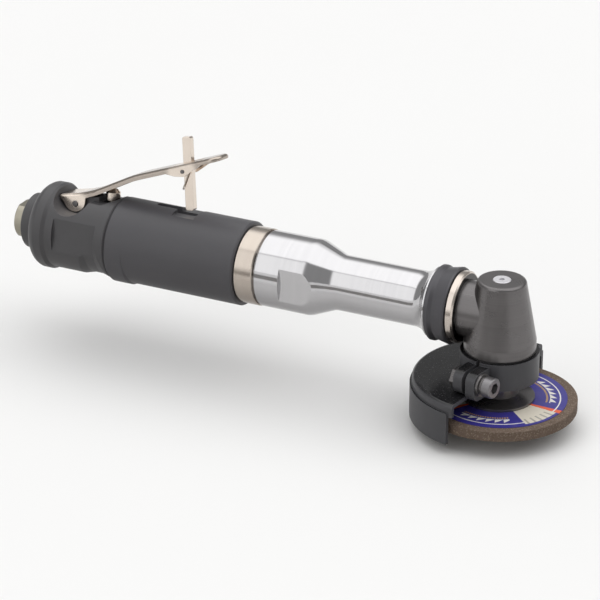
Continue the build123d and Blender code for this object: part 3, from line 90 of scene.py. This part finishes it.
class Field:
    """A value that varies over a surface."""

    def __init__(self, finish, socket):
        self.finish = finish
        self.socket = socket

    def maths(self, operation, *values):
        """A Math node on these values."""
        sockets = dict(enumerate(values))
        return self.finish.node("Math", {"operation": operation}, sockets)

    def __add__(self, other):
        return self.maths("ADD", self, other)

    def __radd__(self, other):
        return self.maths("ADD", other, self)

    def __sub__(self, other):
        return self.maths("SUBTRACT", self, other)

    def __rsub__(self, other):
        return self.maths("SUBTRACT", other, self)

    def __mul__(self, other):
        return self.maths("MULTIPLY", self, other)

    def __rmul__(self, other):
        return self.maths("MULTIPLY", other, self)

    def __truediv__(self, other):
        return self.maths("DIVIDE", self, other)

    def __pow__(self, other):
        return self.maths("POWER", self, other)

    def __abs__(self):
        return self.maths("ABSOLUTE", self)

    def __gt__(self, other):
        return self.maths("GREATER_THAN", self, other)

    def __lt__(self, other):
        return self.maths("LESS_THAN", self, other)

    def __mod__(self, other):
        return self.maths("FLOORED_MODULO", self, other)

    def angle_from(self, other):
        """Angle of the direction whose sine part is this field and whose cosine part the other."""
        return self.maths("ARCTAN2", self, other)

    def about_zero(self, spread):
        """Noise from 0 to 1 as a change of that spread about zero."""
        return spread * (self - 0.5)


class Finish:
    """A node tree with one method for any node, and short names for the ones used most."""

    def __init__(self, tree):
        self.tree = tree
        tree.nodes.clear()

    def node(self, kind, settings=None, sockets=None, output=0):
        """Add a node, apply its settings, feed its sockets and give back one output."""
        made = self.tree.nodes.new("ShaderNode" + kind)
        for name, value in (settings or {}).items():
            setattr(made, name, value)
        for key, value in (sockets or {}).items():
            if isinstance(value, Field):
                self.tree.links.new(value.socket, made.inputs[key])
            else:
                made.inputs[key].default_value = value
        return Field(self, made.outputs[output])

    def place(self):
        """Position on the piece, in the frame's metres."""
        return self.node("TexCoord", output="Object")

    def parts(self, vector):
        """The three parts of a vector."""
        sockets = {"Vector": vector}
        return [self.node("SeparateXYZ", None, sockets, axis) for axis in "XYZ"]

    def stretch(self, vector, factors):
        """A vector with each part scaled, for streaks."""
        return self.node("VectorMath", {"operation": "MULTIPLY"}, {0: vector, 1: factors})

    def grain(self, vector, size, detail=3.0, roughness=0.6):
        """Cloudy noise from 0 to 1 whose lumps are about that size."""
        sockets = {"Vector": vector, "Scale": 1 / size, "Detail": detail, "Roughness": roughness}
        return self.node("TexNoise", None, sockets)

    def lines(self, along, size, detail=2.0, roughness=0.7):
        """Noise that varies along one direction only, as a turning tool leaves it."""
        sockets = {"W": along, "Scale": 1 / size, "Detail": detail, "Roughness": roughness}
        return self.node("TexNoise", {"noise_dimensions": "1D"}, sockets)

    def cells(self, vector, size, output):
        """Cells of about that size: the distance from their middles, or a colour for each."""
        return self.node("TexVoronoi", None, {"Vector": vector, "Scale": 1 / size}, output)

    def ramp(self, value, low, high):
        """Smooth step of a value from 0 at low to 1 at high."""
        sockets = {"Value": value, "From Min": low, "From Max": high}
        return self.node("MapRange", {"interpolation_type": "SMOOTHSTEP"}, sockets)

    def blend(self, share, first, second):
        """Colour between two colours."""
        return self.node("Mix", {"data_type": "RGBA"}, {0: share, 6: first, 7: second}, 2)

    def rounded(self, radius):
        """Normal with its edges eased by a radius."""
        return self.node("Bevel", {"samples": BEVEL_SAMPLES}, {"Radius": radius})

    def edges(self, radius):
        """Mask that is 1 along the edges and 0 on open faces."""
        flat = self.node("NewGeometry", output="Normal")
        turned = {0: self.rounded(radius), 1: flat}
        facing = self.node("VectorMath", {"operation": "DOT_PRODUCT"}, turned, "Value")
        return self.ramp(1 - facing, EDGE_BEGINS, EDGE_FULL)

    def bump(self, height, depth, normal):
        """Normal shifted by a height field of that depth."""
        sockets = {"Strength": 1.0, "Distance": depth, "Height": height, "Normal": normal}
        return self.node("Bump", None, sockets)

    def surface(self, **sockets):
        """Close the tree with a principled surface; socket names are written with underscores."""
        named = {name.replace("_", " "): value for name, value in sockets.items()}
        self.close("Material", self.node("BsdfPrincipled", None, named))

    def close(self, kind, shader):
        """Lead a shader to the tree's output."""
        made = self.tree.nodes.new("ShaderNodeOutput" + kind)
        self.tree.links.new(shader.socket, made.inputs["Surface"])


def linear(channel):
    """A display value from 0 to 1 as light."""
    if channel <= 0.04045:
        return channel / 12.92
    return ((channel + 0.055) / 1.055) ** 2.4


def colour(code):
    """A colour from its six figure code, as light."""
    channels = [int(code[start:start + 2], 16) / 255 for start in (0, 2, 4)]
    return (*[linear(channel) for channel in channels], 1.0)


def new_finish(name):
    """A fresh material and its tree."""
    material = bpy.data.materials.new(name)
    material.use_nodes = True
    return material, Finish(material.node_tree)


# Coats and mouldings
WORN_EDGE = 0.5 * MM
EASED_EDGE = 0.3 * MM
COAT_CLOUD = 14 * MM
COAT_WEAR = 0.7


def dark_coat(name, low, high, worn, roughness, grain_size, grain_depth):
    """Dark grey coat or moulding with fine grain, faint clouding and lighter edges."""
    material, finish = new_finish(name)
    place = finish.place()
    cloud = finish.grain(place, COAT_CLOUD)
    fine = finish.grain(place, grain_size, detail=2.0)
    edge = finish.edges(WORN_EDGE)
    body = finish.blend(cloud, colour(low), colour(high))
    finish.surface(
        Base_Color=finish.blend(edge * fine * COAT_WEAR, body, colour(worn)),
        Roughness=roughness + cloud.about_zero(0.12) + fine.about_zero(0.08),
        Normal=finish.bump(fine, grain_depth, finish.rounded(EASED_EDGE)),
    )
    return material


# Turned metal
TURNED_EDGE = 0.25 * MM
RINGS_A_BAND = 9
STAIN_SIZE = 11 * MM
HAZE_SIZE = 0.5 * MM
RING_SHARE, BAND_SHARE, STAIN_SHARE = 0.45, 0.30, 0.25
EVEN_ROUGH, STAIN_ROUGH, RING_ROUGH, HAZE_ROUGH = 0.65, 0.40, 0.20, 0.10
# Painted shade: the dark colour laid inside a ring's land, for the shadow between the ring and the
# neck
PAINTED_SHADE = "2c2927"
PAINTED_SHADE_FADE = 0.1 * MM


def turned_metal(
    name, axis, low, high, roughness, line_size, line_depth, metallic=1.0, painted_shade_r=0.0
):
    """Metal turned about an axis: fine rings and soft staining, and a dark painted shade inside the
    given radius.
    """
    material, finish = new_finish(name)
    place = finish.place()
    x, y, z = finish.parts(place)
    along = {"X": x, "Y": y, "Z": z}[axis]
    rings = finish.lines(along, line_size)
    bands = finish.lines(along, RINGS_A_BAND * line_size)
    stain = finish.grain(place, STAIN_SIZE)
    haze = finish.grain(place, HAZE_SIZE)
    shade = RING_SHARE * rings + BAND_SHARE * bands + STAIN_SHARE * stain
    metal = finish.blend(shade, colour(low), colour(high))
    # Painted shade: everything inside the radius is darkened, for the shadow on the ring's end face
    if painted_shade_r:
        radius = (y * y + z * z) ** 0.5
        unshaded = finish.ramp(radius, painted_shade_r - PAINTED_SHADE_FADE, painted_shade_r + PAINTED_SHADE_FADE)
        metal = finish.blend(unshaded, colour(PAINTED_SHADE), metal)
    uneven = EVEN_ROUGH + STAIN_ROUGH * stain + RING_ROUGH * rings + HAZE_ROUGH * haze
    finish.surface(
        Base_Color=metal,
        Metallic=metallic,
        Roughness=roughness * uneven,
        Normal=finish.bump(rings, line_depth, finish.rounded(TURNED_EDGE)),
    )
    return material


# Plated sheet and wire
DRAWN_STRETCH = (0.06, 1.0, 1.0)
DRAWN_SIZE = 0.35 * MM
TINT_SIZE = 9 * MM
PLATE_GRAIN = 0.3 * MM
PLATE_DEPTH = 0.012 * MM
DRAWN_SHARE, GRAIN_SHARE = 0.7, 0.3
# Painted shade: a darker plate colour away from the pins, for the dimmer lever arm
ARM_SHADE = "a89e95"
ARM_SHADE_LEAST, ARM_SHADE_DRAWN = 0.80, 0.20
PIN_BRIGHT, PIN_SHADED = 6 * MM, 10 * MM


def plated_sheet(name, low, high, roughness, ease=EASED_EDGE, pins=()):
    """Nickel plate with a soft sheen and drawn lines; given pins, a painted shade darkens it away
    from them.
    """
    material, finish = new_finish(name)
    place = finish.place()
    drawn = finish.grain(finish.stretch(place, DRAWN_STRETCH), DRAWN_SIZE)
    tint = finish.grain(place, TINT_SIZE)
    fine = finish.grain(place, PLATE_GRAIN)
    height = DRAWN_SHARE * drawn + GRAIN_SHARE * fine
    plate = finish.blend(tint, colour(low), colour(high))
    # Painted shade: the plate darkens with distance from each pin, for the dimmer arm
    if pins:
        x, _, z = finish.parts(place)
        arm_shade = ARM_SHADE_LEAST + ARM_SHADE_DRAWN * drawn
        for pin in pins:
            along = x - pin.x
            above = z - pin.z
            away = (along * along + above * above) ** 0.5
            arm_shade = arm_shade * finish.ramp(away, PIN_BRIGHT, PIN_SHADED)
        plate = finish.blend(arm_shade, plate, colour(ARM_SHADE))
    finish.surface(
        Base_Color=plate,
        Metallic=1.0,
        Roughness=roughness + drawn.about_zero(0.16) + tint.about_zero(0.10),
        Normal=finish.bump(height, PLATE_DEPTH, finish.rounded(ease)),
    )
    return material


# Grinding wheel
GRIT_SIZE = 0.5 * MM
PORE_SIZE = 0.8 * MM
BOND_CLOUD = 6 * MM
GRIT_DEPTH = 0.14 * MM
WHEEL_EDGE = 0.5 * MM
PALE_PICK, PORE_PICK = (0.70, 0.98), (0.60, 0.74)
PALE_GRIT, PORE_DARK = 0.45, 0.7
GRIT_RISE, PORE_DROP, PALE_RISE = 0.6, 0.5, 0.3
WHEEL_ROUGHNESS, PALE_SHINE = 0.92, 0.25


def bonded_abrasive(name):
    """Brown bonded grain with pale crystals, dark pores and a rough face."""
    material, finish = new_finish(name)
    place = finish.place()
    grit = finish.cells(place, GRIT_SIZE, "Distance")
    pick = finish.parts(finish.cells(place, GRIT_SIZE, "Color"))[0]
    cloud = finish.grain(place, BOND_CLOUD)
    pores = finish.grain(place, PORE_SIZE, detail=2.0)
    pale = finish.ramp(pick, *PALE_PICK)
    dark = finish.ramp(pores, *PORE_PICK)
    bond = finish.blend(cloud, colour("5f5044"), colour("716155"))
    grains = finish.blend(pale * PALE_GRIT, bond, colour("a08d7b"))
    height = (1 - grit) * GRIT_RISE - dark * PORE_DROP + pale * PALE_RISE
    finish.surface(
        Base_Color=finish.blend(dark * PORE_DARK, grains, colour("33291f")),
        Roughness=WHEEL_ROUGHNESS - PALE_SHINE * pale,
        Normal=finish.bump(height, GRIT_DEPTH, finish.rounded(WHEEL_EDGE)),
    )
    return material


# Wheel label: distances are from its rim, ends and turns are shares of one field
LABEL_FIELDS = 3
FIELD_TURN = 0.36
CREAM_END, BAR_END = 0.30, 0.345
ROW_START, ROW_END = 0.44, 0.90
BLUE_RIM = 1.6 * MM
TICKS, TICK_HALF, TICK_REACH = 18, 0.16, 6.6 * MM
CIRCLE_IN, CIRCLE_HALF = 3.4 * MM, 0.32 * MM
MARKS, MARK_IN, MARK_HEIGHT = 13, 8.4 * MM, 3.4 * MM
DASHES, DASH_SHARE, DASH_IN, DASH_HALF = 42, 0.6, 9.8 * MM, 0.45 * MM
PAPER_GRAIN, SMUDGE_SIZE = 0.25 * MM, 7 * MM
PAPER_DEPTH, PAPER_EDGE = 0.02 * MM, 0.1 * MM
TICK_INK, LABEL_DUST = 0.8, 0.22
DUST_PICK = 0.56, 0.72
SMUDGE_SHARE, PAPER_SHARE = 0.6, 0.4
LABEL_ROUGHNESS, DUST_ROUGHNESS = 0.42, 0.3


def printed_label(name):
    """Paper disc printed in equal blue and cream fields with plain marks and a pale circle."""
    material, finish = new_finish(name)
    place = finish.place()
    x, y, _ = finish.parts(place)
    across = x - SPINDLE.x
    beside = y - SPINDLE.y
    radius = (across * across + beside * beside) ** 0.5
    turn = beside.angle_from(across) / (2 * math.pi)
    field = (turn * LABEL_FIELDS + FIELD_TURN) % 1.0

    def near(value, goal, half):
        return abs(value - goal) < half

    cream = (field < CREAM_END) * (radius < LABEL_R - BLUE_RIM)
    bar = (field > CREAM_END) * (field < BAR_END)
    tick = near((field * TICKS) % 1.0, 0.5, TICK_HALF) * (radius > LABEL_R - TICK_REACH) * cream
    circle = near(radius, LABEL_R - CIRCLE_IN, CIRCLE_HALF) * (1 - cream)
    row = (field > ROW_START) * (field < ROW_END)
    out = (radius - (LABEL_R - MARK_IN)) / MARK_HEIGHT
    mark = (out > 0) * (out < 1) * ((field * MARKS) % 1.0 < 1 - out) * row
    dash = near(radius, LABEL_R - DASH_IN, DASH_HALF) * ((field * DASHES) % 1.0 < DASH_SHARE) * row
    paper = finish.grain(place, PAPER_GRAIN)
    smudge = finish.grain(place, SMUDGE_SIZE)
    dust = finish.ramp(smudge * SMUDGE_SHARE + paper * PAPER_SHARE, *DUST_PICK)
    ink = finish.blend(smudge, colour("322e84"), colour("403a94"))
    ink = finish.blend(cream, ink, colour("d9d2c3"))
    ink = finish.blend(bar, ink, colour("e2603a"))
    ink = finish.blend(tick * TICK_INK, ink, colour("9a978f"))
    ink = finish.blend(circle, ink, colour("e9e6e2"))
    ink = finish.blend(mark, ink, colour("e4e1dc"))
    ink = finish.blend(dash, ink, colour("d8ae3e"))
    finish.surface(
        Base_Color=finish.blend(dust * LABEL_DUST, ink, colour("8d8478")),
        Roughness=LABEL_ROUGHNESS + DUST_ROUGHNESS * dust + paper.about_zero(0.1),
        Normal=finish.bump(paper, PAPER_DEPTH, finish.rounded(PAPER_EDGE)),
    )
    return material


# Guard
BEND_EASE = 1.2 * MM
PAINT_CLOUD, PAINT_GRAIN, SPECK_SIZE = 12 * MM, 0.5 * MM, 0.8 * MM
PAINT_DEPTH = 0.008 * MM
FLAT_PICK, SPECK_PICK = (0.55, 0.90), (0.58, 0.72)
SPECK_SHARE, PAINT_WEAR = 0.24, 0.8
SATIN_ROUGHNESS, FLAT_SHINE, SPECK_ROUGHNESS = 0.40, 0.19, 0.12
PAINT_SPECULAR = 0.38


def guard_paint(name):
    """Black paint on bent sheet: satin on upright faces; the flat ones glossier, dusty and much
    darker, partly a glossier black and partly painted shade.
    """
    material, finish = new_finish(name)
    place = finish.place()
    upward = finish.parts(finish.rounded(BEND_EASE))[2]
    flat = finish.ramp(upward, *FLAT_PICK)
    cloud = finish.grain(place, PAINT_CLOUD)
    fine = finish.grain(place, PAINT_GRAIN, detail=2.0)
    specks = finish.ramp(finish.grain(place, SPECK_SIZE, detail=4.0), *SPECK_PICK)
    edge = finish.edges(WORN_EDGE)
    satin = finish.blend(cloud, colour("424245"), colour("4c4c4f"))
    # The flat faces' dark colour is partly a glossy black paint and partly painted shade from the
    # head above
    glossy_and_shaded = finish.blend(cloud, colour("131314"), colour("1d1d1f"))
    paint = finish.blend(flat, satin, glossy_and_shaded)
    paint = finish.blend(flat * specks * SPECK_SHARE, paint, colour("77747a"))
    paint = finish.blend(edge * fine * PAINT_WEAR, paint, colour("77777b"))
    roughness = SATIN_ROUGHNESS - FLAT_SHINE * flat
    finish.surface(
        Base_Color=paint,
        Specular_IOR_Level=PAINT_SPECULAR,
        Roughness=roughness + cloud.about_zero(0.10) + SPECK_ROUGHNESS * specks,
        Normal=finish.bump(fine, PAINT_DEPTH, finish.rounded(EASED_EDGE)),
    )
    return material


# Felt, rubber and laminate
SOFT_EDGE = 0.2 * MM
SOFT_CLOUD = 4 * MM
FIBRE_SHARE, CLOUD_SHARE = 0.6, 0.4


def soft_stuff(name, low, high, fibre_size, roughness, depth):
    """Fine fibres or grain in a dull body."""
    material, finish = new_finish(name)
    place = finish.place()
    fibres = finish.grain(place, fibre_size, detail=6.0, roughness=0.75)
    shade = FIBRE_SHARE * fibres + CLOUD_SHARE * finish.grain(place, SOFT_CLOUD)
    finish.surface(
        Base_Color=finish.blend(shade, colour(low), colour(high)),
        Roughness=roughness + fibres.about_zero(0.1),
        Normal=finish.bump(fibres, depth, finish.rounded(SOFT_EDGE)),
    )
    return material


# Finishes by the slots of the solids, then the pieces that have one of their own
NICKEL = {"low": "dccfc2", "high": "e8ddd2", "roughness": 0.20}
POLISHED = {"roughness": 0.09, "line_size": 0.35 * MM, "line_depth": 0.0008 * MM}
OXIDE = {"roughness": 0.29, "line_size": 0.32 * MM, "line_depth": 0.0035 * MM, "metallic": 0.80}
BRIGHT_RING = {"roughness": 0.20, "line_size": 0.35 * MM, "line_depth": 0.003 * MM}
FINE_TURNED = {"line_size": 0.30 * MM, "line_depth": 0.003 * MM}
GROUND = {"roughness": 0.28, "line_size": 0.30 * MM, "line_depth": 0.002 * MM}
COAT_GRAIN = {"roughness": 0.44, "grain_size": 0.30 * MM, "grain_depth": 0.010 * MM}
GRIP_GRAIN = {"roughness": 0.45, "grain_size": 0.38 * MM, "grain_depth": 0.014 * MM}
FELT = {"fibre_size": 0.25 * MM, "roughness": 0.95, "depth": 0.12 * MM}
RUBBER = {"fibre_size": 0.40 * MM, "roughness": 0.60, "depth": 0.02 * MM}
LAMINATE = {"fibre_size": 0.20 * MM, "roughness": 0.70, "depth": 0.02 * MM}
WIRE_EDGE = 0.1 * MM
RING_LAND = 1.0 * MM

FINISHES = {
    "black_body": dark_coat("body_coat", "424143", "4c4b4d", "6d6b70", **COAT_GRAIN),
    "grip": dark_coat("grip_moulding", "464548", "4e4d51", "66646a", **GRIP_GRAIN),
    "nickel": plated_sheet("nickel_plate", **NICKEL),
    "polished_steel": turned_metal("polished_tube", "X", "b6b5b7", "cfcecf", **POLISHED),
    "black_oxide": turned_metal("black_oxide_steel", "Z", "585656", "7f7c7c", **OXIDE),
    "guard_black": guard_paint("guard_paint"),
    "abrasive": bonded_abrasive("bonded_grain"),
    "label": printed_label("printed_paper"),
    "spring_wire": plated_sheet("drawn_wire", "b0a79d", "c5bcb2", 0.30, ease=WIRE_EDGE),
    "felt": soft_stuff("pressed_felt", "5a574f", "77736a", **FELT),
    "seal_rubber": soft_stuff("seal_rubber_black", "1c1c1c", "2a2a2a", **RUBBER),
    "bronze": turned_metal("turned_bronze", "X", "a8793c", "c0924f", 0.30, **FINE_TURNED),
    "motor_alloy": turned_metal("turned_alloy", "X", "c2c2c4", "d0d0d2", 0.34, **FINE_TURNED),
    "vane_composite": soft_stuff("vane_laminate", "8a744f", "a18a63", **LAMINATE),
    "steel": turned_metal("ground_steel", "X", "b4b4b6", "c6c6c8", **GROUND),
}
PIECE_FINISHES = {
    "inlet_bushing": turned_metal(
        "dull_plate", "X", "949083", "a29d90",
        roughness=0.30, line_size=0.35 * MM, line_depth=0.003 * MM,
    ),
    # The throttle lever's arm is darkened away from its pins as painted shade
    "throttle_lever": plated_sheet("nickel_with_painted_arm_shade", pins=(LEVER_PIN, LOCK_PIN), **NICKEL),
    "lock_ring": turned_metal("turned_nickel", "X", "b4aaa0", "c5bbb1", **BRIGHT_RING),
    # The head ring's end face inside its land is darkened as painted shade
    "head_ring": turned_metal(
        "nickel_with_painted_shade", "X", "c2b8af", "d2c8bf", painted_shade_r=HEAD_RING_R - RING_LAND, **BRIGHT_RING
    ),
    "head_plug": turned_metal("plug_zinc", "Y", "d2d1d4", "e2e1e4", 0.54, **FINE_TURNED),
    "clamp_screw": turned_metal(
        "oiled_steel", "Y", "7c7a7c", "8d8b8d", 0.36, metallic=0.85, **FINE_TURNED
    ),
    "coupling_nut": turned_metal(
        "nut_oxide", "X", "4b4a4d", "5c5b5f",
        roughness=0.44, line_size=0.30 * MM, line_depth=0.004 * MM, metallic=0.55,
    ),
    "lever_pin": FINISHES["black_oxide"],
    "lock_pin": FINISHES["black_oxide"],
}

for name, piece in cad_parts.items():
    for holder in piece.material_slots:
        holder.material = PIECE_FINISHES.get(name, FINISHES[holder.material.name])


# Lock spring: a copy of the imported wire, between the throttle lever and the lock lever
spring = bpy.data.objects.new("lock_spring_wire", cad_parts["lock_spring"].data.copy())
bpy.context.scene.collection.objects.link(spring)
spring.data.materials.clear()
spring.data.materials.append(FINISHES["spring_wire"])
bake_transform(spring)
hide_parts("lock_spring")


# Wound shapes: the inlet's screw thread and the coil of the throttle valve's spring
STEPS_A_TURN = 40


def wind(name, slot, start, way, turns, advance, section):
    """A solid wound round an axis: section(turn) is its outline, advance(turn) moves it on."""
    side = way.orthogonal().normalized()
    front = way.cross(side)
    building = bmesh.new()
    before = None
    for step in range(round(turns * STEPS_A_TURN) + 1):
        turn = step / STEPS_A_TURN
        angle = 2 * math.pi * turn
        out = side * math.cos(angle) + front * math.sin(angle)
        centre = start + way * advance(turn)
        places = [centre + way * along + out * reach for along, reach in section(turn)]
        corners = [building.verts.new(place) for place in places]
        if before:
            for one in range(len(corners)):
                two = (one + 1) % len(corners)
                building.faces.new((before[one], before[two], corners[two], corners[one]))
        else:
            building.faces.new(corners)
        before = corners
    building.faces.new(list(reversed(before)))
    bmesh.ops.recalc_face_normals(building, faces=building.faces)
    mesh = bpy.data.meshes.new(name)
    building.to_mesh(mesh)
    building.free()
    mesh.materials.append(FINISHES[slot])
    wound = bpy.data.objects.new(name, mesh)
    bpy.context.scene.collection.objects.link(wound)
    return wound


INLET_START = Vector((0.9 * MM, 0, 0))
INLET_BORE_R = 5.56 * MM
INLET_PITCH = 1.411 * MM
INLET_TURNS = 7.4
RIDGE_FADE = 5
RIDGE_SINK = 0.05 * MM
RIDGE_HEIGHT = 0.55 * MM
RIDGE_HALF = 0.42 * INLET_PITCH
CREST_HALF = 0.15 * RIDGE_HALF


def inlet_ridge(turn):
    """Corners of the thread's ridge, its foot in the bore's wall, running out at both ends."""
    fade = min(1.0, RIDGE_FADE * turn, RIDGE_FADE * (INLET_TURNS - turn))
    foot = INLET_BORE_R + RIDGE_SINK
    crest = foot - RIDGE_HEIGHT * fade
    return [(-RIDGE_HALF, foot), (-CREST_HALF, crest), (CREST_HALF, crest), (RIDGE_HALF, foot)]


inlet_thread = wind(
    "inlet_thread", "nickel", INLET_START, ALONG_TOOL, INLET_TURNS,
    lambda turn: INLET_PITCH * turn, inlet_ridge,
)
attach(inlet_thread, "housing")

COIL_LOW, COIL_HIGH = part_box("valve_spring")
COIL_MIDDLE = middle("valve_spring")
COIL_WIRE_R = 0.45 * MM
COIL_R = (COIL_HIGH.z - COIL_LOW.z) / 2 - COIL_WIRE_R
COIL_ROOM = COIL_HIGH.x - COIL_LOW.x - 2 * COIL_WIRE_R
COIL_START = Vector((COIL_LOW.x + COIL_WIRE_R, COIL_MIDDLE.y, COIL_MIDDLE.z))
COIL_TURNS = 5.0
COIL_CORNERS = 10
COIL_ANGLES = [2 * math.pi * corner / COIL_CORNERS for corner in range(COIL_CORNERS)]
COIL_SECTION = [
    (COIL_WIRE_R * math.cos(angle), COIL_R + COIL_WIRE_R * math.sin(angle))
    for angle in COIL_ANGLES
]


def coil_advance(turn):
    """Distance along the spring: one closed turn at each end, open turns between."""
    closed = 2 * COIL_WIRE_R
    if turn < 1:
        return closed * turn
    if turn > COIL_TURNS - 1:
        return COIL_ROOM - closed * (COIL_TURNS - turn)
    return closed + (COIL_ROOM - 2 * closed) * (turn - 1) / (COIL_TURNS - 2)


valve_coil = wind(
    "valve_spring_coil", "spring_wire", COIL_START, ALONG_TOOL, COIL_TURNS,
    coil_advance, lambda turn: COIL_SECTION,
)
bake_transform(valve_coil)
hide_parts("valve_spring")


# Studio: pale floor, soft light from the world in broad panels, and the camera
FLOOR_GAP = 0.5 * MM
FLOOR_SIDES = 72
FLOOR_FLAT_R = 1.7
SWEEP_REACH = 2.0
SWEEP_RISE = 0.5
SWEEP_STEPS = 8
MOTTLE_SIZE = 0.4
FLOOR_LOW, FLOOR_HIGH = (0.84, 0.838, 0.832, 1), (0.86, 0.858, 0.852, 1)
FLOOR_BOUNCE = (0.47, 0.46, 0.445, 1)
DULL = 0.9


def studio_floor():
    """A wide pale floor just under the tool, which sweeps up far out to close the background."""
    mesh = bpy.data.meshes.new("studio_floor")
    middle_x = (cad_box[0].x + cad_box[1].x) / 2
    corners = []
    faces = [tuple(range(FLOOR_SIDES))]
    for step in range(SWEEP_STEPS + 1):
        share = step / SWEEP_STEPS
        height = cad_box[0].z - FLOOR_GAP + SWEEP_RISE * share ** 2
        reach = FLOOR_FLAT_R + SWEEP_REACH * share
        for side in range(FLOOR_SIDES):
            angle = 2 * math.pi * side / FLOOR_SIDES
            corners.append((middle_x + reach * math.cos(angle), reach * math.sin(angle), height))
            if step:
                here = step * FLOOR_SIDES + side
                after = step * FLOOR_SIDES + (side + 1) % FLOOR_SIDES
                faces.append((here - FLOOR_SIDES, here, after, after - FLOOR_SIDES))
    mesh.from_pydata(corners, [], faces)
    mesh.polygons.foreach_set("use_smooth", [True] * len(mesh.polygons))
    floor = bpy.data.objects.new("studio_floor", mesh)
    bpy.context.scene.collection.objects.link(floor)
    material, finish = new_finish("pale_floor")
    pale = finish.blend(finish.grain(finish.place(), MOTTLE_SIZE), FLOOR_LOW, FLOOR_HIGH)
    # Camera, metal and glass see the pale floor, and what it throws up on dull coats is less
    rays = ("Camera", "Glossy", "Transmission")
    straight, glossy, through = [finish.node("LightPath", output=f"Is {ray} Ray") for ray in rays]
    seen = finish.ramp(straight + glossy + through, 0.0, 1.0)
    finish.surface(Base_Color=finish.blend(seen, FLOOR_BOUNCE, pale), Roughness=DULL)
    mesh.materials.append(material)


CARD_Y = -0.30
CARD_SPAN = (-0.03, 0.60)
CARD_HEIGHT = 60 * MM
CARD_GAP = 0.4 * MM
CARD_GRAIN = 2 * MM
CARD_LOW, CARD_HIGH = (0.44, 0.43, 0.42, 1), (0.48, 0.47, 0.46, 1)

MAT_GAP = 0.3 * MM
MAT_ALONG, MAT_ACROSS = (-0.20, 0.50), (-0.26, 0.12)
MAT_LEFT, MAT_RIGHT = (-0.19, -0.10), (0.40, 0.49)
MAT_FRONT, MAT_BACK = (-0.24, -0.12), (0.02, 0.10)
MAT_GREY = (0.40, 0.39, 0.38, 1)
MAT_SHARE = 0.36


def reflected_board(name, corners, order, material):
    """A flat board that only reflections see."""
    mesh = bpy.data.meshes.new(name)
    mesh.from_pydata(corners, [], [order])
    mesh.materials.append(material)
    board = bpy.data.objects.new(name, mesh)
    bpy.context.scene.collection.objects.link(board)
    board.visible_camera = False
    board.visible_diffuse = False
    board.visible_shadow = False
    return board


def front_card():
    """A low grey card in front, for the dark line along the polished metal."""
    material, finish = new_finish("grey_card")
    grey = finish.blend(finish.grain(finish.place(), CARD_GRAIN), CARD_LOW, CARD_HIGH)
    finish.surface(Base_Color=grey, Roughness=DULL)
    low = cad_box[0].z - CARD_GAP
    corners = [(along, CARD_Y, low + rise) for along in CARD_SPAN for rise in (0.0, CARD_HEIGHT)]
    card = reflected_board("front_card", corners, (0, 1, 3, 2), material)


def floor_mat():
    """A faint grey mat on the floor with soft edges, which deepens the metal's underside."""
    material, finish = new_finish("grey_mat")
    x, y, _ = finish.parts(finish.place())
    share = finish.ramp(y, *MAT_FRONT) - finish.ramp(y, *MAT_BACK)
    ends = finish.ramp(x, *MAT_LEFT) - finish.ramp(x, *MAT_RIGHT)
    finish.surface(Base_Color=MAT_GREY, Roughness=DULL, Alpha=MAT_SHARE * share * ends)
    low = cad_box[0].z - MAT_GAP
    corners = [(along, across, low) for along in MAT_ALONG for across in MAT_ACROSS]
    mat = reflected_board("floor_mat", corners, (0, 2, 3, 1), material)


# Light panels: each pair is a soft edge, from where it begins to where it ends. Lifts are degrees
# up from the front and over the top, sides are the x part of the direction.
ROOM_LIGHT = 0.36
FRONT_LIGHT = 1.40
FRONT_LIFT = (2.5, 5.5), (59, 65)
FRONT_SIDE = (-0.72, -0.58), (-0.2, 0.2)
OVER_LIGHT = 1.70
OVER_LIFT = (61, 67), (126, 152)
OVER_SIDE = (-0.72, -0.58), (0.75, 0.90)


def studio_light():
    """Two broad soft panels, one in front on the left and one overhead, in a dim room."""
    world = bpy.data.worlds.new("studio")
    bpy.context.scene.world = world
    world.use_nodes = True
    finish = Finish(world.node_tree)
    x, y, z = finish.parts(finish.node("TexCoord", output="Generated"))
    lift = z.angle_from(0 - y)

    def panel(lift_edges, side_edges):
        begin, end = [[math.radians(angle) for angle in edge] for edge in lift_edges]
        left, right = side_edges
        high = finish.ramp(lift, *begin) - finish.ramp(lift, *end)
        return high * (finish.ramp(x, *left) - finish.ramp(x, *right))

    front = (FRONT_LIGHT - ROOM_LIGHT) * panel(FRONT_LIFT, FRONT_SIDE)
    over = (OVER_LIGHT - ROOM_LIGHT) * panel(OVER_LIFT, OVER_SIDE)
    light = ROOM_LIGHT + front + over
    tone = finish.node("CombineColor", None, {0: light, 1: light, 2: light})
    finish.close("World", finish.node("Background", None, {"Color": tone, "Strength": 1.0}))


CAMERA_PLACE = Vector((750.70, -1199.77, 603.69)) * MM
CAMERA_AZIMUTH = math.radians(26.31)
CAMERA_ELEVATION = math.radians(24.78)
LENS, SENSOR = 180.0, 36.0
CLIP_NEAR, CLIP_FAR = 0.01, 100.0


def photo_camera():
    """A long lens at the photograph's angle."""
    level = math.cos(CAMERA_ELEVATION)
    back = Vector((
        math.sin(CAMERA_AZIMUTH) * level,
        -math.cos(CAMERA_AZIMUTH) * level,
        math.sin(CAMERA_ELEVATION),
    ))
    camera = bpy.data.objects.new("camera", bpy.data.cameras.new("camera"))
    bpy.context.scene.collection.objects.link(camera)
    camera.data.sensor_width = SENSOR
    camera.data.lens = LENS
    camera.data.clip_start = CLIP_NEAR
    camera.data.clip_end = CLIP_FAR
    camera.location = CAMERA_PLACE
    camera.rotation_mode = "QUATERNION"
    camera.rotation_quaternion = (-back).to_track_quat("-Z", "Y")
    bpy.context.scene.camera = camera


studio_floor()
front_card()
floor_mat()
studio_light()
photo_camera()
bpy.context.scene.view_settings.view_transform = "Standard"
